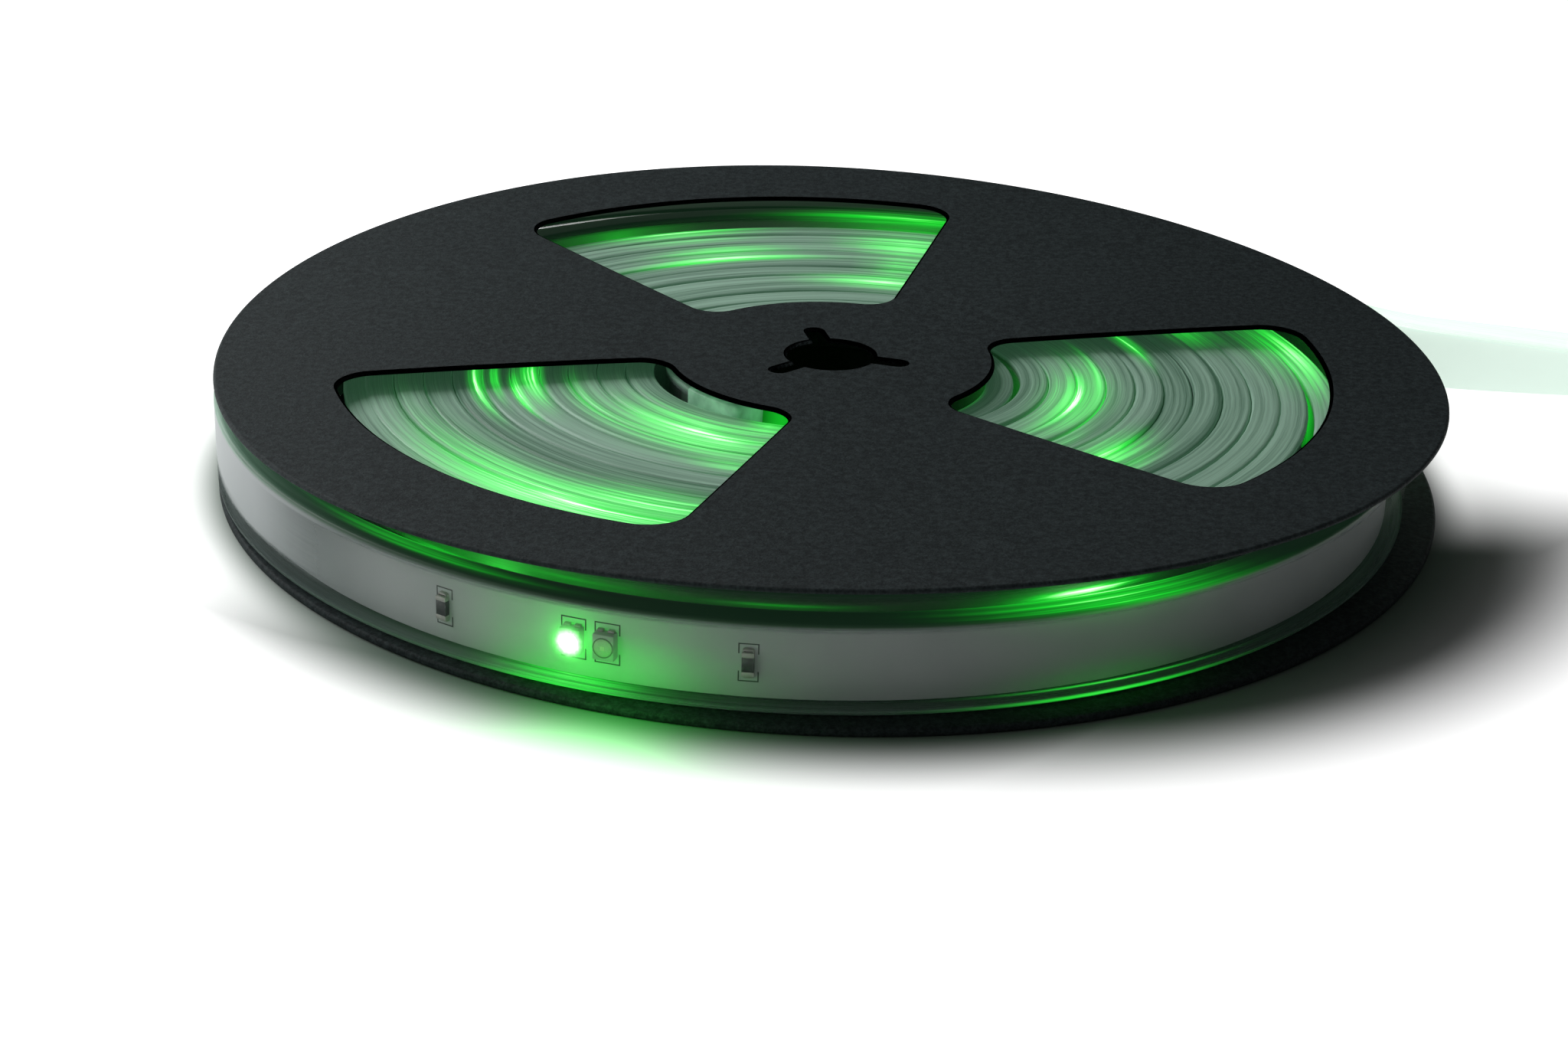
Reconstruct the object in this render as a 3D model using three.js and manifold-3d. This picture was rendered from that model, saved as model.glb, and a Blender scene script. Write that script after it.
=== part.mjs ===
// A flexible LED strip in a clear silicone sleeve, wound on a black plastic reel that lies flat.
// Millimetres, +Z up. Azimuths are degrees, counted anticlockwise from +X as seen from above.
// The origin is the middle of the footprint, on the surface that the reel lies on.
import * as THREE from 'three';
import { mergeVertices } from 'three/addons/utils/BufferGeometryUtils.js';
import Module from 'manifold-3d';

const wasm = await Module();
wasm.setup();

// Gap between two pieces that touch on the real reel
const seatGap = 0.25;

// How far a cutter runs past the surface that it comes out of
const cutOverrun = 1;

// Points nearer to each other than this are one point
const weldTolerance = 1e-5;

// Flanges
const flangeRadius = 90;
const flangeThickness = 1.2;
const stripHeadroom = 1.95;
const rimChamfer = 0.35;
const hubDiscRadius = 25;
const rimLift = 1.93;
const warpLift = 1.32;
const warpAzimuth = 105.2;
const arborRadius = 6.5;
const driveSlotWidth = 2.3;
const driveSlotReach = 11.6;
const flangeSegments = 48;
const upperRings = 3;
const lowerRings = 1;

// Windows in both flanges
const windowCount = 3;
const firstWindowAzimuth = 103.6;
const rimWidth = 16.85;
const windowInnerRadius = 24.4;
const windowHalfAngle = 28.1;
const windowSideOffset = 2.97;
const windowOuterFillet = 5.5;
const windowInnerFillet = 4.5;
const windowCurveSegments = 4;

// Winding core and the collars of the flanges that it is pushed over
const coreRadius = 17;
const coreWall = 2.4;
const collarWall = 1.4;
const collarHeight = 2.6;
const coreSegments = 40;

// Silicone sleeve, standing on its edge between the flanges
const sleeveHeight = 12.3;
const sleeveThickness = 3.95;
const sleeveFrontWall = 0.5;
const sleeveBackWall = 1.1;
const turnGap = 0.3;

// Circuit ribbon near the back of the sleeve's pocket, with a clearance behind and along its edges.
// The pocket lies a little below the middle of the sleeve.
const ribbonWidth = 10;
const ribbonThickness = 0.25;
const ribbonDrop = 0.25;
const pocketClearance = 0.25;

// Roll: packed turns, then loose turns that open out to the rim
const packedDepth = 17.5;
const coreClearance = 3;
const looseStart = 45;
const fineStep = 7.5;
const packedStep = 15;
const innerEndAzimuth = 231;
const innerLeadAngle = 60;
const innerLeadSteps = 5;

// Outer loop: how deep its outer face lies under the flange's rim at each azimuth, as shares of the deepest
const outerLoopDepth = 5;
const outerLoopShares = [
  [45, 0.24],
  [90, 0.36],
  [135, 0.12],
  [180, -0.04],
  [220, 0.2],
  [265, 0.54],
  [300, 0.8],
  [350, 1],
];

// Free tail: how far its outer face lies past the flange's rim at each azimuth, as shares of its end's reach,
// and its lean once it is past the rim
const tailReach = 45;
const tailReachShares = [
  [13.62, 1],
  [14.93, 0.8127],
  [16.75, 0.6062],
  [19.59, 0.3729],
  [23.33, 0.1829],
  [31.23, 0.0142],
];
const tailStep = 5;
const tailLean = 34;
const leanStartReach = 3;

// End caps
const capFaceWall = 0.85;
const capEdgeWall = 0.45;
const capLength = 9;
const capEndWall = 1.6;

// Light emitting diodes and resistors, in clusters along the ribbon
const clusterPitch = 165;
const anchorClusterAzimuth = 248.3;
const diodeLength = 2.8;
const diodeWidth = 3.5;
const diodeHeight = 1.2;
const lensRadius = 1.2;
const lensHeight = 0.15;
const lensSides = 10;
const resistorLength = 3.2;
const resistorWidth = 1.6;
const resistorHeight = 0.55;
const solderReach = 0.45;
const solderHeight = 0.4;
const solderSink = 0.05;
const clusterMargin = 30;
const diodePairPitch = 4.5;
const resistorBefore = 19;
const resistorAfter = 22.3;
const resistorDrop = 0.3;
const clusterLayout = [
  { kind: 'resistor', label: 'a', offset: -resistorBefore, drop: resistorDrop },
  { kind: 'led', label: 'a', offset: 0, drop: 0 },
  { kind: 'led', label: 'b', offset: diodePairPitch, drop: 0 },
  { kind: 'resistor', label: 'b', offset: resistorAfter, drop: resistorDrop },
];

// Worked out from the sizes above
const pitch = sleeveThickness + turnGap;
const faceCover = seatGap + capFaceWall;
const edgeCover = seatGap + capEdgeWall;
const upperInnerFace = flangeThickness + sleeveHeight + stripHeadroom;
const upperOuterFace = upperInnerFace + flangeThickness;
const windowOuterRadius = flangeRadius - rimWidth;
const sleeveBase = flangeThickness + seatGap;
const pocketHeight = ribbonWidth + 2 * pocketClearance;
const pocketLow = (sleeveHeight - pocketHeight) / 2 - ribbonDrop;
const ribbonLow = pocketLow + pocketClearance;
const ribbonBack = -sleeveThickness + sleeveBackWall + pocketClearance;
const ribbonFront = ribbonBack + ribbonThickness;
const packedRadius = flangeRadius - packedDepth;
const fullTurn = 360;

const flangeMaterial = new THREE.MeshStandardMaterial({ color: 0x2b2f31, roughness: 0.6, metalness: 0 });
const coreMaterial = new THREE.MeshStandardMaterial({ color: 0x1a1c1d, roughness: 0.6, metalness: 0 });
const siliconeMaterial = new THREE.MeshStandardMaterial({ color: 0xd8e2dc, roughness: 0.3, metalness: 0 });
const capMaterial = new THREE.MeshStandardMaterial({ color: 0xe4ece8, roughness: 0.4, metalness: 0 });
const ribbonMaterial = new THREE.MeshStandardMaterial({ color: 0xe8ecea, roughness: 0.5, metalness: 0 });
const diodeMaterial = new THREE.MeshStandardMaterial({ color: 0xf2f6f0, roughness: 0.35, metalness: 0 });
const resistorMaterial = new THREE.MeshStandardMaterial({ color: 0x17181a, roughness: 0.4, metalness: 0 });

const radians = THREE.MathUtils.degToRad;
const lerp = THREE.MathUtils.lerp;

function polar(radius, azimuth) {
  return new THREE.Vector2(radius * Math.cos(radians(azimuth)), radius * Math.sin(radians(azimuth)));
}

// A closed geometry as a solid with its faces pointing out
function toSolid(geometry) {
  geometry.deleteAttribute('normal');
  geometry.deleteAttribute('uv');
  const merged = mergeVertices(geometry, weldTolerance);
  return new wasm.Manifold(new wasm.Mesh({
    numProp: 3,
    vertProperties: merged.attributes.position.array,
    triVerts: new Uint32Array(merged.index.array),
  }));
}

function toGeometry(solid) {
  const mesh = solid.getMesh();
  const geometry = new THREE.BufferGeometry();
  geometry.setAttribute('position', new THREE.BufferAttribute(mesh.vertProperties, 3));
  geometry.setIndex(new THREE.BufferAttribute(mesh.triVerts, 1));
  geometry.computeVertexNormals();
  return geometry;
}

function placed(solid, matrix) {
  return solid.transform(matrix.elements);
}

function part(name, solid, material) {
  const mesh = new THREE.Mesh(toGeometry(solid), material);
  mesh.name = name;
  return mesh;
}

// A ring turned about Z from a closed outline of [radius, z] points
function turned(outline, segments) {
  const points = outline.map(([radius, z]) => new THREE.Vector2(radius, z));
  points.push(points[0].clone());
  return new THREE.LatheGeometry(points, segments).rotateX(Math.PI / 2);
}

// Height that the dished and warped rim adds to the upper flange
function flangeRise(x, y) {
  const share = Math.max(0, (Math.hypot(x, y) - hubDiscRadius) / (flangeRadius - hubDiscRadius));
  const warp = Math.cos(2 * (Math.atan2(y, x) - radians(warpAzimuth)));
  return rimLift * share + warpLift * warp * share * share;
}

// One window's outline about +X: outer arc, two straight sides and an arc round the hub, with fillets
function windowShape() {
  const half = radians(windowHalfAngle);
  const side = new THREE.Vector2(Math.cos(half), Math.sin(half));
  const outward = new THREE.Vector2(-side.y, side.x);
  const filletCentre = (distance, fillet) => {
    const inset = windowSideOffset - fillet;
    const along = Math.sqrt(distance * distance - inset * inset);
    return side.clone().multiplyScalar(along).addScaledVector(outward, inset);
  };
  const outer = filletCentre(windowOuterRadius - windowOuterFillet, windowOuterFillet);
  const inner = filletCentre(windowInnerRadius + windowInnerFillet, windowInnerFillet);
  const outerAngle = outer.angle();
  const innerAngle = inner.angle();
  const sideAngle = half + Math.PI / 2;
  const shape = new THREE.Shape();
  shape.absarc(0, 0, windowOuterRadius, -outerAngle, outerAngle, false);
  shape.absarc(outer.x, outer.y, windowOuterFillet, outerAngle, sideAngle, false);
  shape.absarc(inner.x, inner.y, windowInnerFillet, sideAngle, innerAngle + Math.PI, false);
  shape.absarc(0, 0, windowInnerRadius, innerAngle, -innerAngle, true);
  shape.absarc(inner.x, -inner.y, windowInnerFillet, Math.PI - innerAngle, -sideAngle, false);
  shape.absarc(outer.x, -outer.y, windowOuterFillet, -sideAngle, -outerAngle, false);
  return shape;
}

// One drive slot's outline about +X, from inside the arbor hole to its round tip
function driveSlotShape() {
  const half = driveSlotWidth / 2;
  const shape = new THREE.Shape();
  shape.moveTo(0, -half);
  shape.absarc(driveSlotReach - half, 0, half, -Math.PI / 2, Math.PI / 2, false);
  shape.lineTo(0, half);
  return shape;
}

// A cutter right through the reel, turned to an azimuth
function cutter(shape, azimuth, curveSegments) {
  const depth = 2 * upperOuterFace;
  const geometry = new THREE.ExtrudeGeometry(shape, { depth, bevelEnabled: false, curveSegments });
  geometry.translate(0, 0, -depth / 4);
  geometry.rotateZ(radians(azimuth));
  return toSolid(geometry);
}

// A flange lying with its outer face at z = 0 and its collar up, with rings of points to bend it at
function flangeBlank(ringSteps) {
  const rimStart = flangeRadius - rimChamfer;
  const collarOuter = coreRadius - coreWall - seatGap;
  const collarInner = collarOuter - collarWall;
  const collarTop = flangeThickness + collarHeight;
  const rings = [];
  for (let i = 0; i <= ringSteps; i += 1) rings.push(lerp(hubDiscRadius, rimStart, i / ringSteps));
  const outline = [
    [arborRadius, 0],
    ...rings.map((radius) => [radius, 0]),
    [flangeRadius, rimChamfer],
    [flangeRadius, flangeThickness - rimChamfer],
    ...rings.reverse().map((radius) => [radius, flangeThickness]),
    [collarOuter, flangeThickness],
    [collarOuter, collarTop],
    [collarInner, collarTop],
    [collarInner, flangeThickness],
    [arborRadius, flangeThickness],
  ];
  return turned(outline, flangeSegments);
}

function cutFlange(geometry) {
  let flange = toSolid(geometry);
  for (let i = 0; i < windowCount; i += 1) {
    const azimuth = firstWindowAzimuth + (i * fullTurn) / windowCount;
    flange = flange.subtract(cutter(windowShape(), azimuth, windowCurveSegments));
    flange = flange.subtract(cutter(driveSlotShape(), azimuth, windowCurveSegments));
  }
  return flange;
}

function lowerFlange() {
  return cutFlange(flangeBlank(lowerRings));
}

function upperFlange() {
  const geometry = flangeBlank(upperRings).rotateX(Math.PI).translate(0, 0, upperOuterFace);
  const position = geometry.attributes.position;
  for (let i = 0; i < position.count; i += 1) {
    const rise = flangeRise(position.getX(i), position.getY(i));
    position.setZ(i, position.getZ(i) + rise);
  }
  return cutFlange(geometry);
}

function windingCore() {
  const top = upperInnerFace - seatGap;
  const inner = coreRadius - coreWall;
  const outline = [[inner, sleeveBase], [coreRadius, sleeveBase], [coreRadius, top], [inner, top]];
  return toSolid(turned(outline, coreSegments));
}

// Radius of the roll's outer face at each azimuth, counted on from the tail through all the turns.
// The second loop starts close under the outer loop's second point, and reaches the packed turns in one turn.
const outerLoop = outerLoopShares.map(([azimuth, share]) => [azimuth, flangeRadius - outerLoopDepth * share]);
const secondLoopStart = outerLoop[1][0] + fullTurn;
const secondLoopRadius = outerLoop[1][1] - pitch - seatGap;
const looseEnd = secondLoopStart + fullTurn;
const looseKnots = [
  ...outerLoop,
  [secondLoopStart, secondLoopRadius],
  [(secondLoopStart + looseEnd) / 2, (secondLoopRadius + packedRadius) / 2],
  [looseEnd, packedRadius],
  [looseEnd + fullTurn / 2, packedTurnRadius(looseEnd + fullTurn / 2)],
];
const looseRadius = new THREE.CubicInterpolant(
  looseKnots.map(([azimuth]) => azimuth),
  looseKnots.map(([, radius]) => radius),
  1,
);
const packedSpace = packedRadius - sleeveThickness - coreRadius - coreClearance;
const lastAzimuth = looseEnd + (fullTurn * packedSpace) / pitch;
const endAzimuth = innerEndAzimuth + fullTurn * Math.floor((lastAzimuth - innerEndAzimuth) / fullTurn);
const packedSteps = Math.floor((endAzimuth - innerLeadAngle - looseEnd) / packedStep);
const leadAzimuth = looseEnd + packedSteps * packedStep;

function packedTurnRadius(azimuth) {
  return packedRadius - (pitch * (azimuth - looseEnd)) / fullTurn;
}

function rollRadius(azimuth) {
  if (azimuth < looseEnd) return looseRadius.evaluate(azimuth)[0];
  if (azimuth <= leadAzimuth) return packedTurnRadius(azimuth);
  const endRadius = coreRadius + seatGap + faceCover + sleeveThickness;
  return lerp(packedTurnRadius(azimuth), endRadius, leadShareAt(azimuth));
}

// Points on the strip's outer face, from the tail's end to the inner end, with their azimuths on the roll
function stripPoints() {
  const tail = new THREE.SplineCurve([
    ...tailReachShares.map(([azimuth, share]) => polar(flangeRadius + tailReach * share, azimuth)),
    polar(rollRadius(looseStart), looseStart),
  ]);
  const tailSteps = Math.ceil(tail.getLength() / tailStep);
  const azimuths = [];
  for (let azimuth = looseStart; azimuth < looseEnd; azimuth += fineStep) azimuths.push(azimuth);
  for (let azimuth = looseEnd; azimuth < leadAzimuth; azimuth += packedStep) azimuths.push(azimuth);
  for (let i = 0; i <= innerLeadSteps; i += 1) azimuths.push(lerp(leadAzimuth, endAzimuth, i / innerLeadSteps));
  return [
    ...tail.getSpacedPoints(tailSteps).slice(0, -1).map((point) => ({ point, azimuth: -Infinity })),
    ...azimuths.map((azimuth) => ({ point: polar(rollRadius(azimuth), azimuth), azimuth })),
  ];
}

// How far the strip has turned from the packed turns in to its end on the core, from 0 to 1
function leadShareAt(azimuth) {
  return THREE.MathUtils.smoothstep(azimuth, leadAzimuth, endAzimuth);
}

// Places along the strip: a point at the foot of its outer face, the way out of that face and the way up.
// The strip stands on the lower flange, leans over past the rim and lies on its caps at both ends.
function stripStations() {
  const places = stripPoints();
  const leanStartRadius = flangeRadius + leanStartReach;
  const leanRun = places[0].point.length() - leanStartRadius;
  return places.map(({ point, azimuth }, i) => {
    const before = places[Math.max(i - 1, 0)].point;
    const after = places[Math.min(i + 1, places.length - 1)].point;
    const along = after.clone().sub(before).normalize();
    const leanShare = THREE.MathUtils.clamp((point.length() - leanStartRadius) / leanRun, 0, 1);
    const lean = radians(tailLean) * leanShare;
    const restHeight = (sleeveThickness + faceCover) * Math.sin(lean) + edgeCover * Math.cos(lean);
    const liftShare = THREE.MathUtils.smoothstep(azimuth, leadAzimuth - innerLeadAngle, leadAzimuth);
    const base = Math.max(sleeveBase, restHeight) + edgeCover * liftShare;
    return {
      azimuth,
      point: new THREE.Vector3(point.x, point.y, base),
      out: new THREE.Vector3(along.y * Math.cos(lean), -along.x * Math.cos(lean), Math.sin(lean)),
      up: new THREE.Vector3(-along.y * Math.sin(lean), along.x * Math.sin(lean), Math.cos(lean)),
    };
  });
}

// A station carried straight on past the end of a run of stations
function stationBeyond(last, previous, distance) {
  const along = last.point.clone().sub(previous.point).normalize();
  return { point: last.point.clone().addScaledVector(along, distance), out: last.out, up: last.up };
}

function atStation(station, depth, height) {
  return station.point.clone().addScaledVector(station.out, depth).addScaledVector(station.up, height);
}

// A bar of a four-sided section swept through stations; depths count from the strip's outer face
function sweep(stations, [backDepth, frontDepth], [lowHeight, highHeight]) {
  const corners = [
    [frontDepth, lowHeight],
    [frontDepth, highHeight],
    [backDepth, highHeight],
    [backDepth, lowHeight],
  ];
  const sides = corners.length;
  const position = [];
  const index = [];
  for (const station of stations) {
    for (const [depth, height] of corners) position.push(...atStation(station, depth, height).toArray());
  }
  for (let i = 0; i + 1 < stations.length; i += 1) {
    for (let j = 0; j < sides; j += 1) {
      const a = sides * i + j;
      const b = sides * i + ((j + 1) % sides);
      index.push(a, a + sides, b, b, a + sides, b + sides);
    }
  }
  const end = sides * (stations.length - 1);
  index.push(0, 1, 2, 0, 2, 3);
  index.push(end, end + 2, end + 1, end, end + 3, end + 2);
  const along = stations[1].point.clone().sub(stations[0].point);
  if (along.cross(stations[0].up).dot(stations[0].out) < 0) index.reverse();
  const geometry = new THREE.BufferGeometry();
  geometry.setAttribute('position', new THREE.Float32BufferAttribute(position, 3));
  geometry.setIndex(index);
  return toSolid(geometry);
}

const stations = stripStations();

function siliconeSleeve() {
  const count = stations.length;
  const pocketRun = [
    stationBeyond(stations[0], stations[1], cutOverrun),
    ...stations.slice(1, count - 1),
    stationBeyond(stations[count - 1], stations[count - 2], cutOverrun),
  ];
  const body = sweep(stations, [-sleeveThickness, 0], [0, sleeveHeight]);
  const pocketDepths = [-sleeveThickness + sleeveBackWall, -sleeveFrontWall];
  return body.subtract(sweep(pocketRun, pocketDepths, [pocketLow, pocketLow + pocketHeight]));
}

// A cup over an end of the sleeve; the run of stations goes from the cup's mouth to the sleeve's end
function endCap(run) {
  const count = run.length;
  const cavityEnd = stationBeyond(run[count - 1], run[count - 2], seatGap);
  const capEnd = stationBeyond(run[count - 1], run[count - 2], seatGap + capEndWall);
  const mouth = stationBeyond(run[0], run[1], cutOverrun);
  const shellDepths = [-sleeveThickness - faceCover, faceCover];
  const shell = sweep([...run, capEnd], shellDepths, [-edgeCover, sleeveHeight + edgeCover]);
  const cavityDepths = [-sleeveThickness - seatGap, seatGap];
  const cavityHeights = [-seatGap, sleeveHeight + seatGap];
  return shell.subtract(sweep([mouth, ...run, cavityEnd], cavityDepths, cavityHeights));
}

// Stations from an end of the strip back to the mouth of its cap, given from the end inwards
function capRun(inward) {
  const run = [inward[0]];
  let length = 0;
  for (let i = 1; length < capLength; i += 1) {
    const step = inward[i].point.distanceTo(inward[i - 1].point);
    const share = Math.min(1, (capLength - length) / step);
    run.push({
      point: inward[i - 1].point.clone().lerp(inward[i].point, share),
      out: inward[i - 1].out.clone().lerp(inward[i].out, share).normalize(),
      up: inward[i - 1].up.clone().lerp(inward[i].up, share).normalize(),
    });
    length += step;
  }
  return run.reverse();
}

// Middle of the ribbon's front face at each station, and the length of ribbon up to there
const ribbonLine = stations.map((station) => atStation(station, ribbonFront, ribbonLow + ribbonWidth / 2));
const ribbonLengths = [0];
for (let i = 1; i < ribbonLine.length; i += 1) {
  ribbonLengths.push(ribbonLengths[i - 1] + ribbonLine[i].distanceTo(ribbonLine[i - 1]));
}

function ribbonLengthAt(azimuth) {
  const next = stations.findIndex((station) => station.azimuth > azimuth);
  const span = stations[next].azimuth - stations[next - 1].azimuth;
  return lerp(ribbonLengths[next - 1], ribbonLengths[next], (azimuth - stations[next - 1].azimuth) / span);
}

// Frame on the ribbon's front face at a length along it, below the middle of its width by a drop:
// X along the ribbon, Y up, Z out of the face
function ribbonFrame(length, drop, standOff) {
  const next = ribbonLengths.findIndex((value) => value > length);
  const share = (length - ribbonLengths[next - 1]) / (ribbonLengths[next] - ribbonLengths[next - 1]);
  const along = ribbonLine[next].clone().sub(ribbonLine[next - 1]).normalize();
  const up = stations[next].up.clone().addScaledVector(along, -stations[next].up.dot(along)).normalize();
  const out = along.clone().cross(up);
  const place = ribbonLine[next - 1].clone().lerp(ribbonLine[next], share);
  place.addScaledVector(up, -drop).addScaledVector(out, standOff);
  return new THREE.Matrix4().makeBasis(along, up, out).setPosition(place);
}

function circuitRibbon() {
  return sweep(stations.slice(1, -1), [ribbonBack, ribbonFront], [ribbonLow, ribbonLow + ribbonWidth]);
}

// Surface-mounted diode: a square housing with a round lens standing a little proud of it
function diodeSolid() {
  const lens = new THREE.CylinderGeometry(lensRadius, lensRadius, 2 * lensHeight, lensSides);
  lens.rotateX(Math.PI / 2).translate(0, 0, diodeHeight);
  return diodeHousing().add(toSolid(lens));
}

function diodeHousing() {
  const housing = new THREE.BoxGeometry(diodeLength, diodeWidth, diodeHeight);
  return toSolid(housing.translate(0, 0, diodeHeight / 2));
}

// Chip resistor standing across the ribbon, with a solder foot at each end
function resistorSolid() {
  const half = resistorLength / 2;
  const shape = new THREE.Shape();
  shape.moveTo(-half - solderReach, 0);
  shape.lineTo(half + solderReach, 0);
  shape.lineTo(half, solderHeight);
  shape.lineTo(half, resistorHeight);
  shape.lineTo(-half, resistorHeight);
  shape.lineTo(-half, solderHeight);
  const geometry = new THREE.ExtrudeGeometry(shape, { depth: resistorWidth, bevelEnabled: false });
  geometry.translate(0, 0, -resistorWidth / 2);
  return toSolid(geometry.rotateX(Math.PI / 2).rotateZ(Math.PI / 2));
}

const componentKinds = {
  led: { make: diodeSolid, makePacked: diodeHousing, material: diodeMaterial },
  resistor: { make: resistorSolid, makePacked: resistorSolid, material: resistorMaterial },
};

// Every component on the ribbon, by its length along it, counted from the tail
function components() {
  const anchor = ribbonLengthAt(anchorClusterAzimuth);
  const last = ribbonLengths[ribbonLengths.length - 1] - clusterMargin;
  const first = anchor - clusterPitch * Math.floor((anchor - clusterMargin) / clusterPitch);
  const list = [];
  let number = 1;
  for (let middle = first; middle < last; middle += clusterPitch) {
    for (const { kind, label, offset, drop } of clusterLayout) {
      list.push({ kind, name: `${kind}_${number}${label}`, length: middle + offset, drop });
    }
    number += 1;
  }
  return list;
}

// Components on the loose turns are pieces of their own; in the packed turns they belong to the ribbon
function ribbonAndComponents() {
  const looseLength = ribbonLengthAt(looseEnd);
  const pieces = [];
  let ribbon = circuitRibbon();
  for (const { kind, name, length, drop } of components()) {
    const { make, makePacked, material } = componentKinds[kind];
    if (length < looseLength) {
      pieces.push(part(name, placed(make(), ribbonFrame(length, drop, seatGap)), material));
    } else {
      ribbon = ribbon.add(placed(makePacked(), ribbonFrame(length, drop, -solderSink)));
    }
  }
  return [part('circuit_ribbon', ribbon, ribbonMaterial), ...pieces];
}

const reel = new THREE.Group();
reel.add(
  part('lower_flange', lowerFlange(), flangeMaterial),
  part('upper_flange', upperFlange(), flangeMaterial),
  part('winding_core', windingCore(), coreMaterial),
  part('silicone_sleeve', siliconeSleeve(), siliconeMaterial),
  part('tail_end_cap', endCap(capRun(stations)), capMaterial),
  part('inner_end_cap', endCap(capRun([...stations].reverse())), capMaterial),
  ...ribbonAndComponents(),
);

// The origin lies under the middle of the whole part, the tail included
const middle = new THREE.Box3().setFromObject(reel).getCenter(new THREE.Vector3());
reel.position.set(-middle.x, -middle.y, 0);

export default reel;
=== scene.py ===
# A flexible LED strip in a clear silicone sleeve, wound on a flat black plastic reel.
# Sizes are in millimetres about the reel's own axis, and azimuths are degrees, counted anticlockwise
# from +X as seen from above. Pieces go to the shared frame, in metres, as their meshes are made.
import math

import bpy
import numpy as np
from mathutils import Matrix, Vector
from mathutils.geometry import delaunay_2d_cdt


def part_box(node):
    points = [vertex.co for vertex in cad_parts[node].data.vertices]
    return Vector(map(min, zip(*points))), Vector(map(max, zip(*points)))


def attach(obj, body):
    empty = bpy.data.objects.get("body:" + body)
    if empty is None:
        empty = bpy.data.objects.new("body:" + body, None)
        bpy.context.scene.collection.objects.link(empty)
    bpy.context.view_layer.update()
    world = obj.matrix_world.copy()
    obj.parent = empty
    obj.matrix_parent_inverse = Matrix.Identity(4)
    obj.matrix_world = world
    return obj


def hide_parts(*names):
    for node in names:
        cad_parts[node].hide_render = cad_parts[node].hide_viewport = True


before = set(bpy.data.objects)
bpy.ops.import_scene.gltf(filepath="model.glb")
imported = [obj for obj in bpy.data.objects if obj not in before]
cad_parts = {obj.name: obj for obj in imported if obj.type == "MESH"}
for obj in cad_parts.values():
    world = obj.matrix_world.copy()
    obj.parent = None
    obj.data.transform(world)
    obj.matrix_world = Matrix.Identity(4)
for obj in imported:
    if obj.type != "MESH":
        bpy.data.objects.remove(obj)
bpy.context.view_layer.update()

MM = 0.001
FULL_TURN = 360

# Sizes shared with the part's solids
SEAT_GAP = 0.25
FLANGE_RADIUS = 90
FLANGE_THICKNESS = 1.2
HUB_DISC_RADIUS = 25
RIM_LIFT = 1.93
WARP_LIFT = 1.32
WARP_AZIMUTH = 105.2
ARBOR_RADIUS = 6.5
DRIVE_SLOT_WIDTH = 2.3
DRIVE_SLOT_REACH = 11.6
WINDOW_COUNT = 3
FIRST_WINDOW_AZIMUTH = 103.6
WINDOW_OUTER_RADIUS = 73.15
WINDOW_INNER_RADIUS = 24.4
WINDOW_HALF_ANGLE = 28.1
WINDOW_SIDE_OFFSET = 2.97
WINDOW_OUTER_FILLET = 5.5
WINDOW_INNER_FILLET = 4.5
CORE_RADIUS = 17
CORE_WALL = 2.4
COLLAR_WALL = 1.4
COLLAR_HEIGHT = 2.6
STRIP_HEADROOM = 1.95
SLEEVE_HEIGHT = 12.3
SLEEVE_THICKNESS = 3.95
SLEEVE_FRONT_WALL = 0.5
SLEEVE_BACK_WALL = 1.1
TURN_GAP = 0.3
RIBBON_WIDTH = 10
RIBBON_THICKNESS = 0.25
RIBBON_DROP = 0.25
POCKET_CLEARANCE = 0.25
PACKED_DEPTH = 17.5
CORE_CLEARANCE = 3
LOOSE_START = 45
PACKED_STEP = 15
INNER_END_AZIMUTH = 231
INNER_LEAD_ANGLE = 60
OUTER_LOOP_DEPTH = 5
OUTER_LOOP_SHARES = [
    (45, 0.24), (90, 0.36), (135, 0.12), (180, -0.04),
    (220, 0.2), (265, 0.54), (300, 0.8), (350, 1),
]
TAIL_REACH = 45
TAIL_REACH_SHARES = [
    (13.62, 1), (14.93, 0.8127), (16.75, 0.6062),
    (19.59, 0.3729), (23.33, 0.1829), (31.23, 0.0142),
]
TAIL_LEAN = 34
LEAN_START_REACH = 3
CAP_FACE_WALL = 0.85
CAP_EDGE_WALL = 0.45
CAP_LENGTH = 9
CAP_END_WALL = 1.6
CLUSTER_PITCH = 165
CLUSTER_MARGIN = 30
DIODE_PAIR_PITCH = 4.5
RESISTOR_BEFORE = 19
RESISTOR_AFTER = 22.3
RESISTOR_DROP = 0.3
DIODE_LENGTH = 2.8
DIODE_WIDTH = 3.5
DIODE_HEIGHT = 1.2
LENS_RADIUS = 1.2
LENS_HEIGHT = 0.15
RESISTOR_LENGTH = 3.2
RESISTOR_WIDTH = 1.6
RESISTOR_HEIGHT = 0.55

# Sizes that only the finished look has
EDGE_ROUND = 0.5
UPPER_HOLLOW = 0.5
UPPER_OUTSIDE_ROUND = 0.5
UPPER_INSIDE_ROUND = 0.15
ROUND_STEPS = 5
FLANGE_GRID = 4
FLANGE_GRID_ROW = 0.866
RING_SEGMENTS = 120
SLEEVE_ROUND = 0.45
SLEEVE_SWELL = 0.1
CAP_ROUND = 0.4
LOOSE_AZIMUTH_STEP = 2.5
PACKED_AZIMUTH_STEP = 4
TAIL_POINT_STEP = 2
SETTLING_HEIGHT = 0.6
SETTLING_WAVES = (1490, 517, 233, 101)
OVAL_WINDING = 1.4
OVAL_AZIMUTH = 187
HALO_RADIUS = 3.4
HALO_RINGS = 8
HALO_STAND = 1.45
HALO_SEGMENTS = 24
LENS_SEGMENTS = 20
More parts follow.
